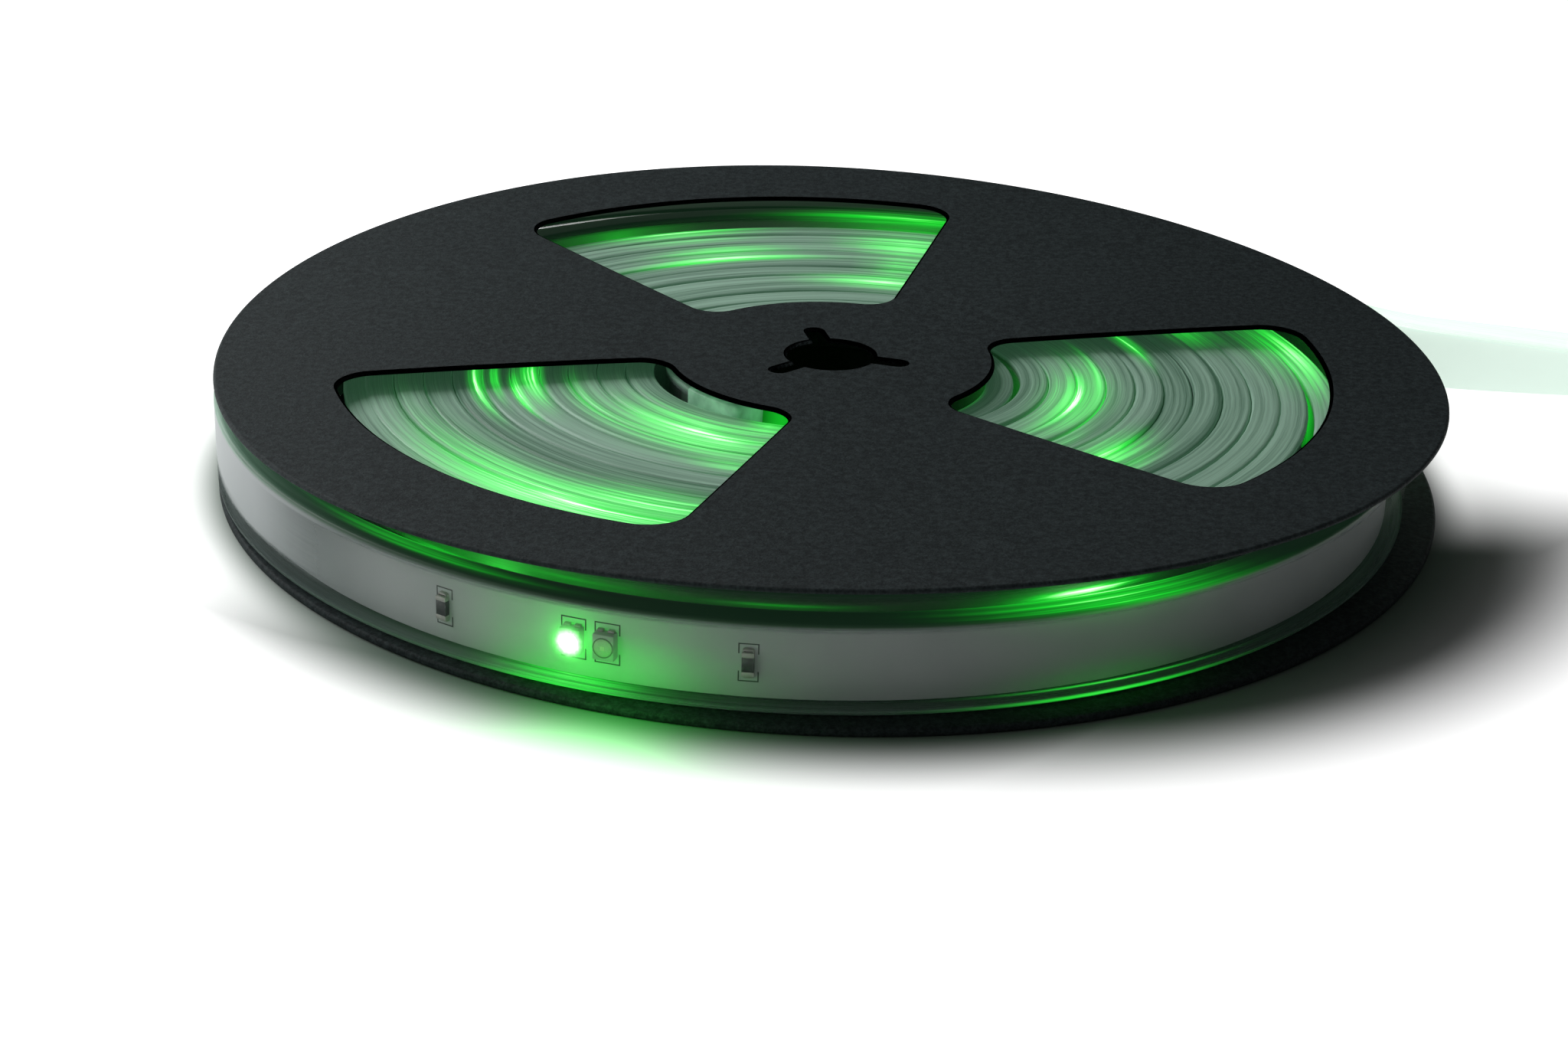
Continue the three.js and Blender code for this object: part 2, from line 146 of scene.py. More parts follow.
LENS_RIM_WIDTH = 0.16
FOOT_PLACE = 0.72
FOOT_HALF_LENGTH = 0.42
FOOT_HALF_WIDTH = 0.28
FOOT_HEIGHT = 0.35
DIE_HALF_SIZE = 0.3
RESISTOR_END = 0.65
SHARP_ANGLE = 35
RIBBON_ROUND = 0.05
SILK_LINE = 0.17
SILK_STAND = 0.03
SILK_LEG_SHARE = 0.55
BRACKET_SIZES = {"led": (3.4, 5.6), "resistor": (2.6, 5.2)}

# Colours, each pair the darker and the paler end of a material's own variation
FLANGE_COLOURS = ((0.008, 0.0125, 0.0135), (0.038, 0.052, 0.054))
CORE_COLOURS = ((0.008, 0.009, 0.009), (0.020, 0.022, 0.022))
SLEEVE_TOP_COLOURS = ((0.060, 0.105, 0.084), (0.40, 0.57, 0.475))
SLEEVE_SHADED_COLOUR = (0.030, 0.060, 0.034)
SLEEVE_FACE_COLOURS = ((0.11, 0.145, 0.14), (0.30, 0.36, 0.355))
# Painted light: the ribbon's white as lit from the left, painted on the sleeve's face at that side
PAINTED_SIDE_LIGHT_COLOUR = (0.46, 0.50, 0.51)
POCKET_COLOURS = ((0.30, 0.36, 0.34), (0.50, 0.57, 0.54))
RIBBON_COLOURS = ((0.60, 0.65, 0.645), (0.76, 0.80, 0.795))
SPECK_COLOUR = (0.35, 0.37, 0.36)
CAP_COLOURS = ((0.24, 0.38, 0.30), (0.50, 0.68, 0.57))
LIT_LENS_COLOURS = ((0.86, 1.0, 0.84), (1.0, 1.0, 0.98))
HALO_BASE_COLOUR = (0.2, 0.4, 0.2)
HALO_COLOURS = ((0.10, 0.90, 0.12), (0.93, 1.0, 0.92))
# The floor: painted shade next to the rim, green-grey, and its pale colour further out
FLOOR_PAINTED_SHADE_COLOURS = ((0.19, 0.255, 0.21), (0.80, 0.80, 0.80))
WHITE = (1.0, 1.0, 1.0)
# Colours of the light in the strip: weak, strong, through the free tail, inside the roll, in the caps
GLOW_GREEN = (0.01, 0.80, 0.03)
GLOW_HOT = (0.72, 1.0, 0.66)
TAIL_LIGHT = (0.84, 1.0, 0.89)
ROLL_LIGHT = (0.26, 0.84, 0.42)
CAP_LIGHT = (0.28, 1.0, 0.46)
# Plain materials: name, two colours, size of their patches, roughness, metallic
PLAIN_LOOKS = [
    ("silk_print", (0.05, 0.06, 0.055), (0.12, 0.14, 0.13), 1, 0.6, 0),
    ("diode_housing", (0.48, 0.58, 0.49), (0.66, 0.74, 0.66), 1, 0.45, 0),
    ("lens_rim", (0.09, 0.15, 0.09), (0.18, 0.27, 0.17), 0.5, 0.4, 0),
    ("unlit_lens", (0.42, 0.62, 0.36), (0.66, 0.84, 0.56), 0.6, 0.15, 0),
    # The die's pale colour is a painted glint on the lens
    ("diode_die_glint", (0.72, 0.85, 0.50), (0.90, 0.95, 0.70), 0.2, 0.2, 0),
    ("solder", (0.34, 0.35, 0.31), (0.80, 0.80, 0.74), 0.9, 0.45, 0.15),
    ("resistor_body", (0.014, 0.018, 0.017), (0.04, 0.05, 0.045), 0.4, 0.35, 0),
]

# Material sizes and strengths
CLOUD_SIZE = 45
GRAIN_DEPTH = 0.15
FLANGE_GRAIN = 0.34
CORE_GRAIN = 0.6
SILICONE_IOR = 1.41
FACE_ALPHA = 0.10
POCKET_ALPHA = 0.05
MARGIN_ALPHA = 0.45
TOP_ALPHA = 0.60
# How opaque the face is where its side light is painted
PAINTED_SIDE_LIGHT_ALPHA = 0.9
LIT_ALPHA = 0.7
STREAK_ALONG = 0.010
STREAK_ACROSS = 0.9
STREAK_UPWARDS = 0.8
TOP_FADE = (0.9, 0.3)
# Painted shade on each top's edges, where the gaps between turns lie
TOP_EDGE_PAINTED_SHADE = -0.14
RIBBON_EDGE_LIGHTENS = 0.14
GLOW_ON_STREAKS = 0.90
GLOW_BETWEEN_STREAKS = 0.50
LENS_SHINE = 6.0
SLEEVE_TAIL_SHINE = 0.84
RIBBON_TAIL_SHINE = 0.66
CAP_SHINE = (0.16, 0.10)
HALO_SHINE = (2.2, 0.6)
HALO_WHITENS = (0.35, 0.75)
ROLL_SHINE = 0.056
LEAST_ROLL_SHINE = 0.005
# Strengths of green light between which it turns from green to nearly white
GLOW_WHITENS = (0.8, 2.4)
# The ribbon's glow about a lit diode: spread in square millimetres, strength
RIBBON_GLOWS = ((12, 0.55), (120, 0.24))

# Where the innermost turn's light falls on the core: azimuth, half length in degrees, strength
CORE_GLOWS = [(247, 11, 0.6), (333, 12, 0.5)]
# Where the diodes' light shows on the roll: radius, azimuth, half width, half length in degrees, strength
ROLL_GLOWS = [
    (71.0, 111, 1.9, 9, 1.2), (65.3, 111, 1.2, 8, 0.5), (59.0, 108, 2.2, 9, 0.9),
    (54.8, 108, 1.4, 12, 1.3), (77.5, 79, 4.0, 11, 1.5), (64.0, 78, 5.0, 7, 1.05),
    (43.0, 79, 2.8, 12, 1.2), (52.0, 76, 7.0, 5, 0.7), (62.5, 236, 0.9, 4, 0.6),
    (63.0, 236, 4.6, 22, 1.3), (57.0, 247, 4.0, 10, 0.9), (41.0, 251, 2.0, 7, 0.6),
    (33.3, 243.7, 0.9, 4, 0.6), (31.0, 234, 1.0, 4, 0.6), (33.0, 235, 5.4, 22, 1.2),
    (24.5, 250, 2.6, 7, 1.3), (52.5, 191, 0.8, 11, 1.7), (49.8, 189, 0.6, 8, 1.4),
    (47.0, 196, 0.7, 8, 1.5), (44.5, 190, 1.2, 11, 1.8), (38.5, 205, 1.6, 14, 0.5),
    (72.3, 363, 1.4, 8, 0.3), (73.0, 373, 5.0, 10, 1.0), (60.0, 382, 3.0, 5, 0.6),
    (48.8, 379, 1.0, 8, 1.3), (48.7, 322, 2.6, 9, 1.3), (53.7, 321, 1.4, 7, 0.6),
    (42.0, 323, 1.2, 7, 0.4), (39.7, 363, 0.7, 11, 0.9), (37.2, 345, 1.1, 13, 0.5),
    (37.3, 344, 4.0, 19, 0.95), (22.5, 332, 0.8, 11, 1.1),
]
# The same between the flanges: azimuth, half length in degrees, height, half height, strength. The height
# is carried outwards to the rim, up a fixed slope from the point of the roll.
SLOT_GLOWS = [
    (229, 6, 16.65, 0.3, 2.2), (232, 9, 15.7, 0.4, 0.4), (243, 8, 17.5, 0.3, 0.7),
    (264, 9, 17.8, 0.3, 0.6), (295, 5.5, 18.2, 0.5, 1.5), (293, 8, 17.1, 0.8, 1.1),
    (295, 9, 15.9, 0.6, 0.7),
]
SLOT_SLOPE = 0.524
# The same in the outer face's lower margin, with the height counted from the sleeve's foot
MARGIN_GLOWS = [(248, 5, 0.6, 1.3, 1.1), (235, 14, 0.7, 0.4, 0.15)]
# The two lines in that margin: azimuth, half length in degrees, strength, and each one's height and reach
LINE_GLOW = (294, 9, 1.05)
LINE_HEIGHTS = ((0.45, 0.50), (1.9, 0.32))

# Azimuths about which the key light reaches the outer turns' tops
OPEN_SIDE = 193
OPEN_HALF_LENGTH = 24
# Azimuths between which that side of the face gets painted light, the ribbon's white as lit from the left,
# and the height where that painted white begins
SIDE_LIGHT_START = 180
SIDE_LIGHT_FULL = 192
SIDE_LIGHT_FADE = 209
SIDE_LIGHT_FADE_END = 231
SIDE_LIGHT_HEIGHT = 4.2
SIDE_LIGHT_SLOPE = 0.03

# Camera, about the reel's axis
CAMERA_SENSOR = 36
CAMERA_LENS = 62.82
CAMERA_PLACE = (-6.16, -383.21, 155.28)
CAMERA_TURNS = (66.575, -1.596, 0.691)

# Floor and lights. Each fade is the two distances between which the floor turns from shaded to white: out
# from the axis, out from the shade's middle, backwards, to the left on a slope, and clear of the rim.
FLOOR_HALF_SIZE = 4
FLOOR_SHADE_CENTRE = (20, 0, 0)
FLOOR_FADE = (90, 108)
FLOOR_SHADE_FADE = (84, 109)
FLOOR_BACK_FADE = (-30, 6)
FLOOR_LEFT_SLOPE = 0.5
FLOOR_LEFT_FADE = (-38, 14)
FLOOR_RIM_FADE = (88, 96)
WORLD_LIGHT = 0.05
SPILL_RADIUS = 99
SPILL_AZIMUTH = 253
SPILL_HEIGHT = 9
SPILL_TINT = (0.02, 1.0, 0.05)

# Worked out from the sizes above
WINDOW_AZIMUTHS = [FIRST_WINDOW_AZIMUTH + i * FULL_TURN / WINDOW_COUNT for i in range(WINDOW_COUNT)]
PITCH = SLEEVE_THICKNESS + TURN_GAP
FACE_COVER = SEAT_GAP + CAP_FACE_WALL
EDGE_COVER = SEAT_GAP + CAP_EDGE_WALL
UPPER_INNER_FACE = FLANGE_THICKNESS + SLEEVE_HEIGHT + STRIP_HEADROOM
SLEEVE_BASE = FLANGE_THICKNESS + SEAT_GAP
PACKED_RADIUS = FLANGE_RADIUS - PACKED_DEPTH
POCKET_HEIGHT = RIBBON_WIDTH + 2 * POCKET_CLEARANCE
POCKET_LOW = (SLEEVE_HEIGHT - POCKET_HEIGHT) / 2 - RIBBON_DROP
POCKET_HIGH = POCKET_LOW + POCKET_HEIGHT
RIBBON_LOW = POCKET_LOW + POCKET_CLEARANCE
RIBBON_MIDDLE = RIBBON_LOW + RIBBON_WIDTH / 2
RIBBON_BACK = -SLEEVE_THICKNESS + SLEEVE_BACK_WALL + POCKET_CLEARANCE
RIBBON_FRONT = RIBBON_BACK + RIBBON_THICKNESS

reel_low, reel_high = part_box("lower_flange")
REEL_AXIS = np.array([(reel_low.x + reel_high.x) / 2, (reel_low.y + reel_high.y) / 2, 0]) / MM


# The camera, placed as the photograph shows the reel
camera_data = bpy.data.cameras.new("camera")
camera_data.sensor_width = CAMERA_SENSOR
camera_data.lens = CAMERA_LENS
camera = bpy.data.objects.new("camera", camera_data)
camera.location = Vector((REEL_AXIS + CAMERA_PLACE) * MM)
camera.rotation_euler = [math.radians(angle) for angle in CAMERA_TURNS]
bpy.context.collection.objects.link(camera)
bpy.context.scene.camera = camera


def make_piece(name, points, faces, materials, node_names, face_materials=None, normals=None,
               attributes=None):
    """A mesh piece from points about the reel's axis, riding on the one body."""
    mesh = bpy.data.meshes.new(name)
    placed = (np.asarray(points, float) + REEL_AXIS) * MM
    mesh.from_pydata(placed.tolist(), [], faces)
    for material in materials:
        mesh.materials.append(material)
    if face_materials is not None:
        mesh.polygons.foreach_set("material_index", face_materials)
    for label, values in (attributes or {}).items():
        layer = mesh.attributes.new(label, "FLOAT", "POINT")
        layer.data.foreach_set("value", np.asarray(values, np.float32))
    mesh.shade_smooth()
    if normals is not None:
        mesh.normals_split_custom_set_from_vertices(normals)
    mesh.update()
    piece = bpy.data.objects.new(name, mesh)
    bpy.context.collection.objects.link(piece)
    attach(piece, "root")
    if node_names:
        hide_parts(*node_names)
    return piece


def strip_faces(rings, count, start=0):
    """Quads between neighbouring closed rings of points, each ring after the one before."""
    faces = []
    for ring in range(rings - 1):
        for i in range(count):
            a = start + ring * count + i
            b = start + ring * count + (i + 1) % count
            faces.append((a, b, b + count, a + count))
    return faces


def feed(tree, socket, value):
    """Link a node's output to a socket, or set the socket's own value."""
    if isinstance(value, bpy.types.NodeSocket):
        tree.links.new(value, socket)
    elif socket.type == "RGBA":
        socket.default_value = (*value, 1.0)
    else:
        socket.default_value = value


class Nodes:
    """The nodes of a material or of the world, with short names for the kinds in use."""

    def __init__(self, tree):
        self.tree = tree

    def add(self, kind, inputs=None, **settings):
        node = self.tree.nodes.new("ShaderNode" + kind)
        for label, value in settings.items():
            setattr(node, label, value)
        for socket, value in (inputs or {}).items():
            feed(self.tree, node.inputs[socket], value)
        return node

    def math(self, operation, first, second=0.0, third=0.0, clamp=False):
        inputs = {0: first, 1: second, 2: third}
        return self.add("Math", inputs, operation=operation, use_clamp=clamp).outputs[0]

    def scaled(self, value, factor, added=0.0, clamp=False):
        return self.math("MULTIPLY_ADD", value, factor, added, clamp)

    def product(self, first, second):
        return self.math("MULTIPLY", first, second)

    def largest(self, *values):
        most = values[0]
        for value in values[1:]:
            most = self.math("MAXIMUM", most, value)
        return most

    def distance(self, value, place):
        return self.math("ABSOLUTE", self.math("SUBTRACT", value, place))

    def ramp(self, value, low, high):
        """0 below low and 1 above high, with a smooth rise between. It falls where low is above high."""
        inputs = {"Value": value, "From Min": low, "From Max": high}
        return self.add("MapRange", inputs, interpolation_type="SMOOTHSTEP").outputs[0]

    def bell(self, value, middle, half_width):
        """1 at the middle, falling smoothly to 0 at half_width on either side."""
        return self.ramp(self.distance(value, middle), half_width, 0.0)

    def mix(self, share, first, second):
        return self.add("Mix", {0: share, 6: first, 7: second}, data_type="RGBA").outputs[2]

    def noise(self, vector, scale, detail=2.0, roughness=0.5):
        inputs = {"Vector": vector, "Scale": scale, "Detail": detail, "Roughness": roughness}
        return self.add("TexNoise", inputs).outputs["Fac"]

    def point(self):
        return self.add("TexCoord").outputs["Object"]

    def patches(self, size, detail=2.0, roughness=0.5):
        """Cloudy variation about as fine as a size in millimetres."""
        return self.noise(self.point(), 1 / (size * MM), detail, roughness)

    def stored(self, label):
        """The value kept on the mesh's points under a label."""
        return self.add("Attribute", attribute_name=label).outputs["Fac"]

    def seen(self, *rays):
        """1 for a ray of one of these kinds, and 0 for any other."""
        path = self.add("LightPath")
        return self.largest(*(path.outputs[f"Is {ray} Ray"] for ray in rays))


class Look(Nodes):
    """A material of one shader and the nodes that feed it."""

    def __init__(self, name, roughness, ior=1.5):
        self.material = bpy.data.materials.new(name)
        self.material.use_nodes = True
        super().__init__(self.material.node_tree)
        self.shader = self.tree.nodes["Principled BSDF"]
        self.set("Roughness", roughness)
        self.set("IOR", ior)

    def set(self, label, value):
        feed(self.tree, self.shader.inputs[label], value)


def grained_plastic(name, colours, grain_size, roughness, bump):
    """Moulded plastic with a fine grain, paler on its peaks. It shines where glow is stored on it."""
    look = Look(name, roughness)
    fine_grain = look.patches(grain_size, detail=3.0, roughness=0.6)
    pebbles = look.patches(3 * grain_size, roughness=0.6)
    grain = look.scaled(pebbles, 0.5, look.product(fine_grain, 0.5))
    cloud = look.patches(CLOUD_SIZE, detail=3.0, roughness=0.55)
    share = look.scaled(grain, 3.6, -1.5, clamp=True)
    share = look.scaled(cloud, 0.25, share, clamp=True)
    look.set("Base Color", look.mix(share, *colours))
    look.set("Specular IOR Level", 0.15)
    look.set("Roughness", look.scaled(cloud, 0.12, roughness - 0.06))
    relief = look.add("Bump", {"Height": grain, "Strength": bump, "Distance": GRAIN_DEPTH * MM})
    look.set("Normal", relief.outputs[0])
    look.set("Emission Color", GLOW_GREEN)
    look.set("Emission Strength", look.stored("glow"))
    return look.material


def add_glow(look, lit, tail, tail_shine, roll=0.0):
    """The diodes' green light, the pale light through the free tail and the faint one inside the roll."""
    strength = look.math("ADD", look.math("ADD", lit, 0.001), roll)
    green = look.mix(look.ramp(lit, *GLOW_WHITENS), GLOW_GREEN, GLOW_HOT)
    tint = look.mix(look.math("DIVIDE", lit, strength), ROLL_LIGHT, green)
    look.set("Emission Color", look.mix(tail, tint, TAIL_LIGHT))
    look.set("Emission Strength", look.math("ADD", strength, look.product(tail, tail_shine)))


def silicone_material():
    """Clear silicone: open over the pocket, milky on top, with streaks along its length."""
    look = Look("clear_silicone", roughness=0.38, ior=SILICONE_IOR)
    look.set("Specular IOR Level", 0.35)
    labels = ("depth", "height", "tail", "painted_side_light", "shaded")
    depth, height, tail, painted_side_light, shaded = (look.stored(label) for label in labels)
    # Streaks run along the strip: fine across it and long along it
    stretched = look.add("CombineXYZ", {
        0: look.product(look.stored("along"), STREAK_ALONG),
        1: look.product(depth, STREAK_ACROSS),
        2: look.product(height, STREAK_UPWARDS)}).outputs[0]
    streak = look.noise(stretched, scale=1.5, detail=4.0, roughness=0.65)
    fine = look.noise(stretched, scale=4.6, detail=3.0, roughness=0.6)
    broad = look.noise(stretched, scale=0.35)
    shade = look.scaled(streak, 2.2, -1.75)
    shade = look.scaled(fine, 1.3, shade)
    shade = look.scaled(broad, 1.2, shade)
    # Both edges of the top get painted shade from the gaps between turns, and the ribbon's edge shows
    # through it as a pale line
    top = look.ramp(height, *(SLEEVE_HEIGHT - below for below in TOP_FADE))
    half = SLEEVE_THICKNESS / 2
    beside = look.ramp(look.distance(depth, -half), half - 0.45, half + 0.05)
    over_ribbon = look.ramp(look.distance(depth, RIBBON_FRONT), 0.5, 0.1)
    shade = look.scaled(beside, TOP_EDGE_PAINTED_SHADE, shade)
    shade = look.scaled(over_ribbon, RIBBON_EDGE_LIGHTENS, shade, clamp=True)
    on_top = look.mix(shaded, look.mix(shade, *SLEEVE_TOP_COLOURS), SLEEVE_SHADED_COLOUR)
    # The face's left side gets painted light, the ribbon's white as lit from the left
    on_face = look.mix(painted_side_light, look.mix(shade, *SLEEVE_FACE_COLOURS), PAINTED_SIDE_LIGHT_COLOUR)
    look.set("Base Color", look.mix(top, on_face, on_top))
    # Green light: stronger on the pale streaks, with two bright lines in the face's lower margin
    streaked = look.ramp(streak, 0.40, 0.66)
    lit = look.product(look.stored("glow"), look.scaled(streaked, GLOW_ON_STREAKS, GLOW_BETWEEN_STREAKS))
    lines = look.math("ADD", *(look.bell(height, middle, reach) for middle, reach in LINE_HEIGHTS))
    lit = look.scaled(look.stored("lower_glow"), lines, lit)
    # The face is clear over the pocket, a little milky beyond it, and the top is the milkiest. Where its
    # side light is painted, the face is nearly opaque
    below = look.ramp(height, POCKET_LOW + 0.25, POCKET_LOW - 0.1)
    above = look.ramp(height, POCKET_HIGH - 0.2, POCKET_HIGH + 0.2)
    margins = look.product(look.largest(below, above), look.scaled(tail, -0.8, 1.0))
    alpha = look.scaled(margins, MARGIN_ALPHA, FACE_ALPHA)
    alpha = look.scaled(top, TOP_ALPHA, alpha)
    alpha = look.scaled(painted_side_light, PAINTED_SIDE_LIGHT_ALPHA, alpha)
    look.set("Alpha", look.scaled(lit, LIT_ALPHA, alpha, clamp=True))
    open_top = look.product(top, look.scaled(shaded, -0.85, 1.0))
    roll = look.scaled(open_top, ROLL_SHINE, LEAST_ROLL_SHINE)
    add_glow(look, lit, tail, SLEEVE_TAIL_SHINE, roll)
    return look.material


def pocket_material():
    """The walls of the sleeve's pocket, hardly seen."""
    look = Look("silicone_pocket", roughness=0.25, ior=SILICONE_IOR)
    look.set("Base Color", look.mix(look.patches(6), *POCKET_COLOURS))
    look.set("Alpha", POCKET_ALPHA)
    return look.material


def ribbon_material(first_length):
    """White solder mask, with a round green glow about each lit diode."""
    look = Look("circuit_ribbon", roughness=0.45)
    body = look.mix(look.patches(9, detail=3.0), *RIBBON_COLOURS)
    specks = look.ramp(look.patches(1.1, roughness=0.7), 0.70, 0.80)
    look.set("Base Color", look.mix(look.product(specks, 0.25), body, SPECK_COLOUR))
    shifted = look.math("ADD", look.stored("along"), CLUSTER_PITCH / 2 - first_length)
    wrapped = look.math("FLOORED_MODULO", shifted, CLUSTER_PITCH)
    beside = look.math("SUBTRACT", wrapped, CLUSTER_PITCH / 2)
    above = look.math("SUBTRACT", look.stored("height"), RIBBON_MIDDLE)
    squares = look.math("ADD", look.math("POWER", beside, 2), look.math("POWER", above, 2))
    lobes = [look.product(look.math("EXPONENT", look.product(squares, -1 / spread)), strength)
             for spread, strength in RIBBON_GLOWS]
    add_glow(look, look.math("ADD", *lobes), look.stored("tail"), RIBBON_TAIL_SHINE)
    return look.material


def plain_material(name, base, other, size, roughness, metallic):
    """One colour that drifts a little towards another over patches of a size."""
    look = Look(name, roughness)
    look.set("Base Color", look.mix(look.patches(size, detail=3.0), base, other))
    look.set("Metallic", metallic)
    return look.material


def cap_material():
    """Milky silicone that lets the roll's light through in soft patches."""
    look = Look("cap_silicone", roughness=0.35, ior=SILICONE_IOR)
    share = look.ramp(look.patches(5, detail=3.0), 0.35, 0.65)
    look.set("Base Color", look.mix(share, *CAP_COLOURS))
    look.set("Emission Color", CAP_LIGHT)
    look.set("Emission Strength", look.scaled(share, *CAP_SHINE))
    return look.material


def lit_lens_material():
    """A lens that shines nearly white."""
    look = Look("lit_lens", roughness=0.3)
    light = look.mix(look.patches(0.6, detail=1.0), *LIT_LENS_COLOURS)
    look.set("Emission Color", light)
    look.set("Base Color", light)
    look.set("Emission Strength", LENS_SHINE)
    return look.material


def halo_material():
    """The bright round haze over a lit lens: white in the middle and green where it fades out."""
    look = Look("lit_halo", roughness=0.5)
    share = look.product(look.stored("haze"), look.scaled(look.patches(0.5), 0.3, 0.85))
    look.set("Emission Color", look.mix(look.ramp(share, *HALO_WHITENS), *HALO_COLOURS))
    look.set("Emission Strength", look.scaled(share, *HALO_SHINE))
    look.set("Alpha", look.ramp(share, 0.0, 0.85))
    look.set("Base Color", HALO_BASE_COLOUR)
    return look.material


FLANGE_PLASTIC = grained_plastic("flange_plastic", FLANGE_COLOURS, FLANGE_GRAIN, roughness=0.66, bump=1.0)
CORE_PLASTIC = grained_plastic("core_plastic", CORE_COLOURS, CORE_GRAIN, roughness=0.5, bump=0.3)
SILICONE = silicone_material()
POCKET = pocket_material()
CAP_SILICONE = cap_material()
LIT_LENS = lit_lens_material()
HALO = halo_material()
SILK, HOUSING, LENS_RIM, UNLIT_LENS, DIE_GLINT, SOLDER, RESISTOR_BODY = (
    plain_material(*values) for values in PLAIN_LOOKS)


def bell(distance, half_width):
    return np.exp(-(distance / half_width) ** 2)


def turned_from(azimuth, middle):
    return (azimuth - middle + FULL_TURN / 2) % FULL_TURN - FULL_TURN / 2


def polar(radius, azimuth):
    angle = np.radians(azimuth)
    return np.stack([radius * np.cos(angle), radius * np.sin(angle)], axis=-1)


def smooth_step(value, low, high):
    share = np.clip((value - low) / (high - low), 0, 1)
    return share * share * (3 - 2 * share)


def about_axis(points):
    """Distance from the reel's axis and azimuth of each point."""
    return np.hypot(points[:, 0], points[:, 1]), np.degrees(np.arctan2(points[:, 1], points[:, 0]))


def flange_rise(x, y):
    """Height that the dished and warped rim adds to the upper flange, and its slope along x and y."""
    radius = np.hypot(x, y)
    reach = FLANGE_RADIUS - HUB_DISC_RADIUS

    def rise(px, py):
        share = np.maximum(0, (np.hypot(px, py) - HUB_DISC_RADIUS) / reach)
        warp = np.cos(2 * (np.arctan2(py, px) - math.radians(WARP_AZIMUTH)))
        return RIM_LIFT * share + WARP_LIFT * warp * share * share

    step = 0.01
    slope_x = (rise(x + step, y) - rise(x - step, y)) / (2 * step)
    slope_y = (rise(x, y + step) - rise(x, y - step)) / (2 * step)
    slope_x = np.where(radius < 1, 0, slope_x)
    slope_y = np.where(radius < 1, 0, slope_y)
    return rise(x, y), slope_x, slope_y


def arc(centre, radius, start, end, steps):
    """Points of an arc, without its last one. Angles are in radians."""
    angles = np.linspace(start, end, steps, endpoint=False)
    return np.stack([centre[0] + radius * np.cos(angles), centre[1] + radius * np.sin(angles)], axis=1)


def turned_about(points, azimuth):
    angle = math.radians(azimuth)
    turn = np.array([[math.cos(angle), math.sin(angle)], [-math.sin(angle), math.cos(angle)]])
    return points @ turn


def rim_loop(inset):
    return arc((0, 0), FLANGE_RADIUS - inset, 0, 2 * math.pi, 300)


def window_loop(azimuth, inset):
    """A window's outline, grown into the flange by inset."""
    half = math.radians(WINDOW_HALF_ANGLE)
    side = np.array([math.cos(half), math.sin(half)])
    outward = np.array([-side[1], side[0]])

    def fillet_centre(distance, fillet):
        offset = WINDOW_SIDE_OFFSET - fillet
        return side * math.sqrt(distance ** 2 - offset ** 2) + outward * offset

    outer = fillet_centre(WINDOW_OUTER_RADIUS - WINDOW_OUTER_FILLET, WINDOW_OUTER_FILLET)
    inner = fillet_centre(WINDOW_INNER_RADIUS + WINDOW_INNER_FILLET, WINDOW_INNER_FILLET)
    outer_angle = math.atan2(outer[1], outer[0])
    inner_angle = math.atan2(inner[1], inner[0])
    side_angle = half + math.pi / 2
    outer_fillet = WINDOW_OUTER_FILLET + inset
    inner_fillet = WINDOW_INNER_FILLET + inset
    side_start = outer + outer_fillet * outward
    side_end = inner + inner_fillet * outward
    shares = np.linspace(0, 1, 14, endpoint=False)[:, None]
    upper_side = side_start + shares * (side_end - side_start)
    mirror = np.array([1, -1])
    lower_side = (side_end + shares * (side_start - side_end)) * mirror
    outline = np.concatenate([
        arc((0, 0), WINDOW_OUTER_RADIUS + inset, -outer_angle, outer_angle, 44),
        arc(outer, outer_fillet, outer_angle, side_angle, 10),
        upper_side,
        arc(inner, inner_fillet, side_angle, inner_angle + math.pi, 10),
        arc((0, 0), WINDOW_INNER_RADIUS - inset, inner_angle, -inner_angle, 16),
        arc(inner * mirror, inner_fillet, math.pi - inner_angle, 2 * math.pi - side_angle, 10),
        lower_side,
        arc(outer * mirror, outer_fillet, 2 * math.pi - side_angle, 2 * math.pi - outer_angle, 10),
    ])
    return turned_about(outline, azimuth)


def hub_loop(inset):
    """The arbor hole with its drive slots, grown into the flange by inset."""
    hole = ARBOR_RADIUS + inset
    half = DRIVE_SLOT_WIDTH / 2 + inset
    tip = DRIVE_SLOT_REACH - DRIVE_SLOT_WIDTH / 2
    mouth = math.asin(half / hole)
    third = 2 * math.pi / WINDOW_COUNT
    shares = np.linspace(0, 1, 5, endpoint=False)[:, None]
    mouth_point = np.array([hole * math.cos(mouth), half])
    low_side = mouth_point * (1, -1) + shares * (np.array([tip, -half]) - mouth_point * (1, -1))
    high_side = np.array([tip, half]) + shares * (mouth_point - np.array([tip, half]))
    one = np.concatenate([
        low_side,
        arc((tip, 0), half, -math.pi / 2, math.pi / 2, 8),
        high_side,
        arc((0, 0), hole, mouth, third - mouth, 14),
    ])
    return np.concatenate([turned_about(one, azimuth) for azimuth in WINDOW_AZIMUTHS])


def flange_loops(inset):
    windows = [window_loop(azimuth, inset) for azimuth in WINDOW_AZIMUTHS]
    return [rim_loop(inset), *windows, hub_loop(inset)]


def inside_loop(points, loop):
    """Which points lie inside a closed outline."""
    x, y = points[:, 0, None], points[:, 1, None]
    ax, ay = loop[:, 0], loop[:, 1]
    bx, by = np.roll(ax, -1), np.roll(ay, -1)
    crosses = (ay > y) != (by > y)
    rise = np.where(by == ay, 1, by - ay)
    left = x < ax + (y - ay) * (bx - ax) / rise
    return (crosses & left).sum(axis=1) % 2 == 1


def inside_plate(points, loops):
    inside = inside_loop(points, loops[0])
    for loop in loops[1:]:
        inside &= ~inside_loop(points, loop)
    return inside


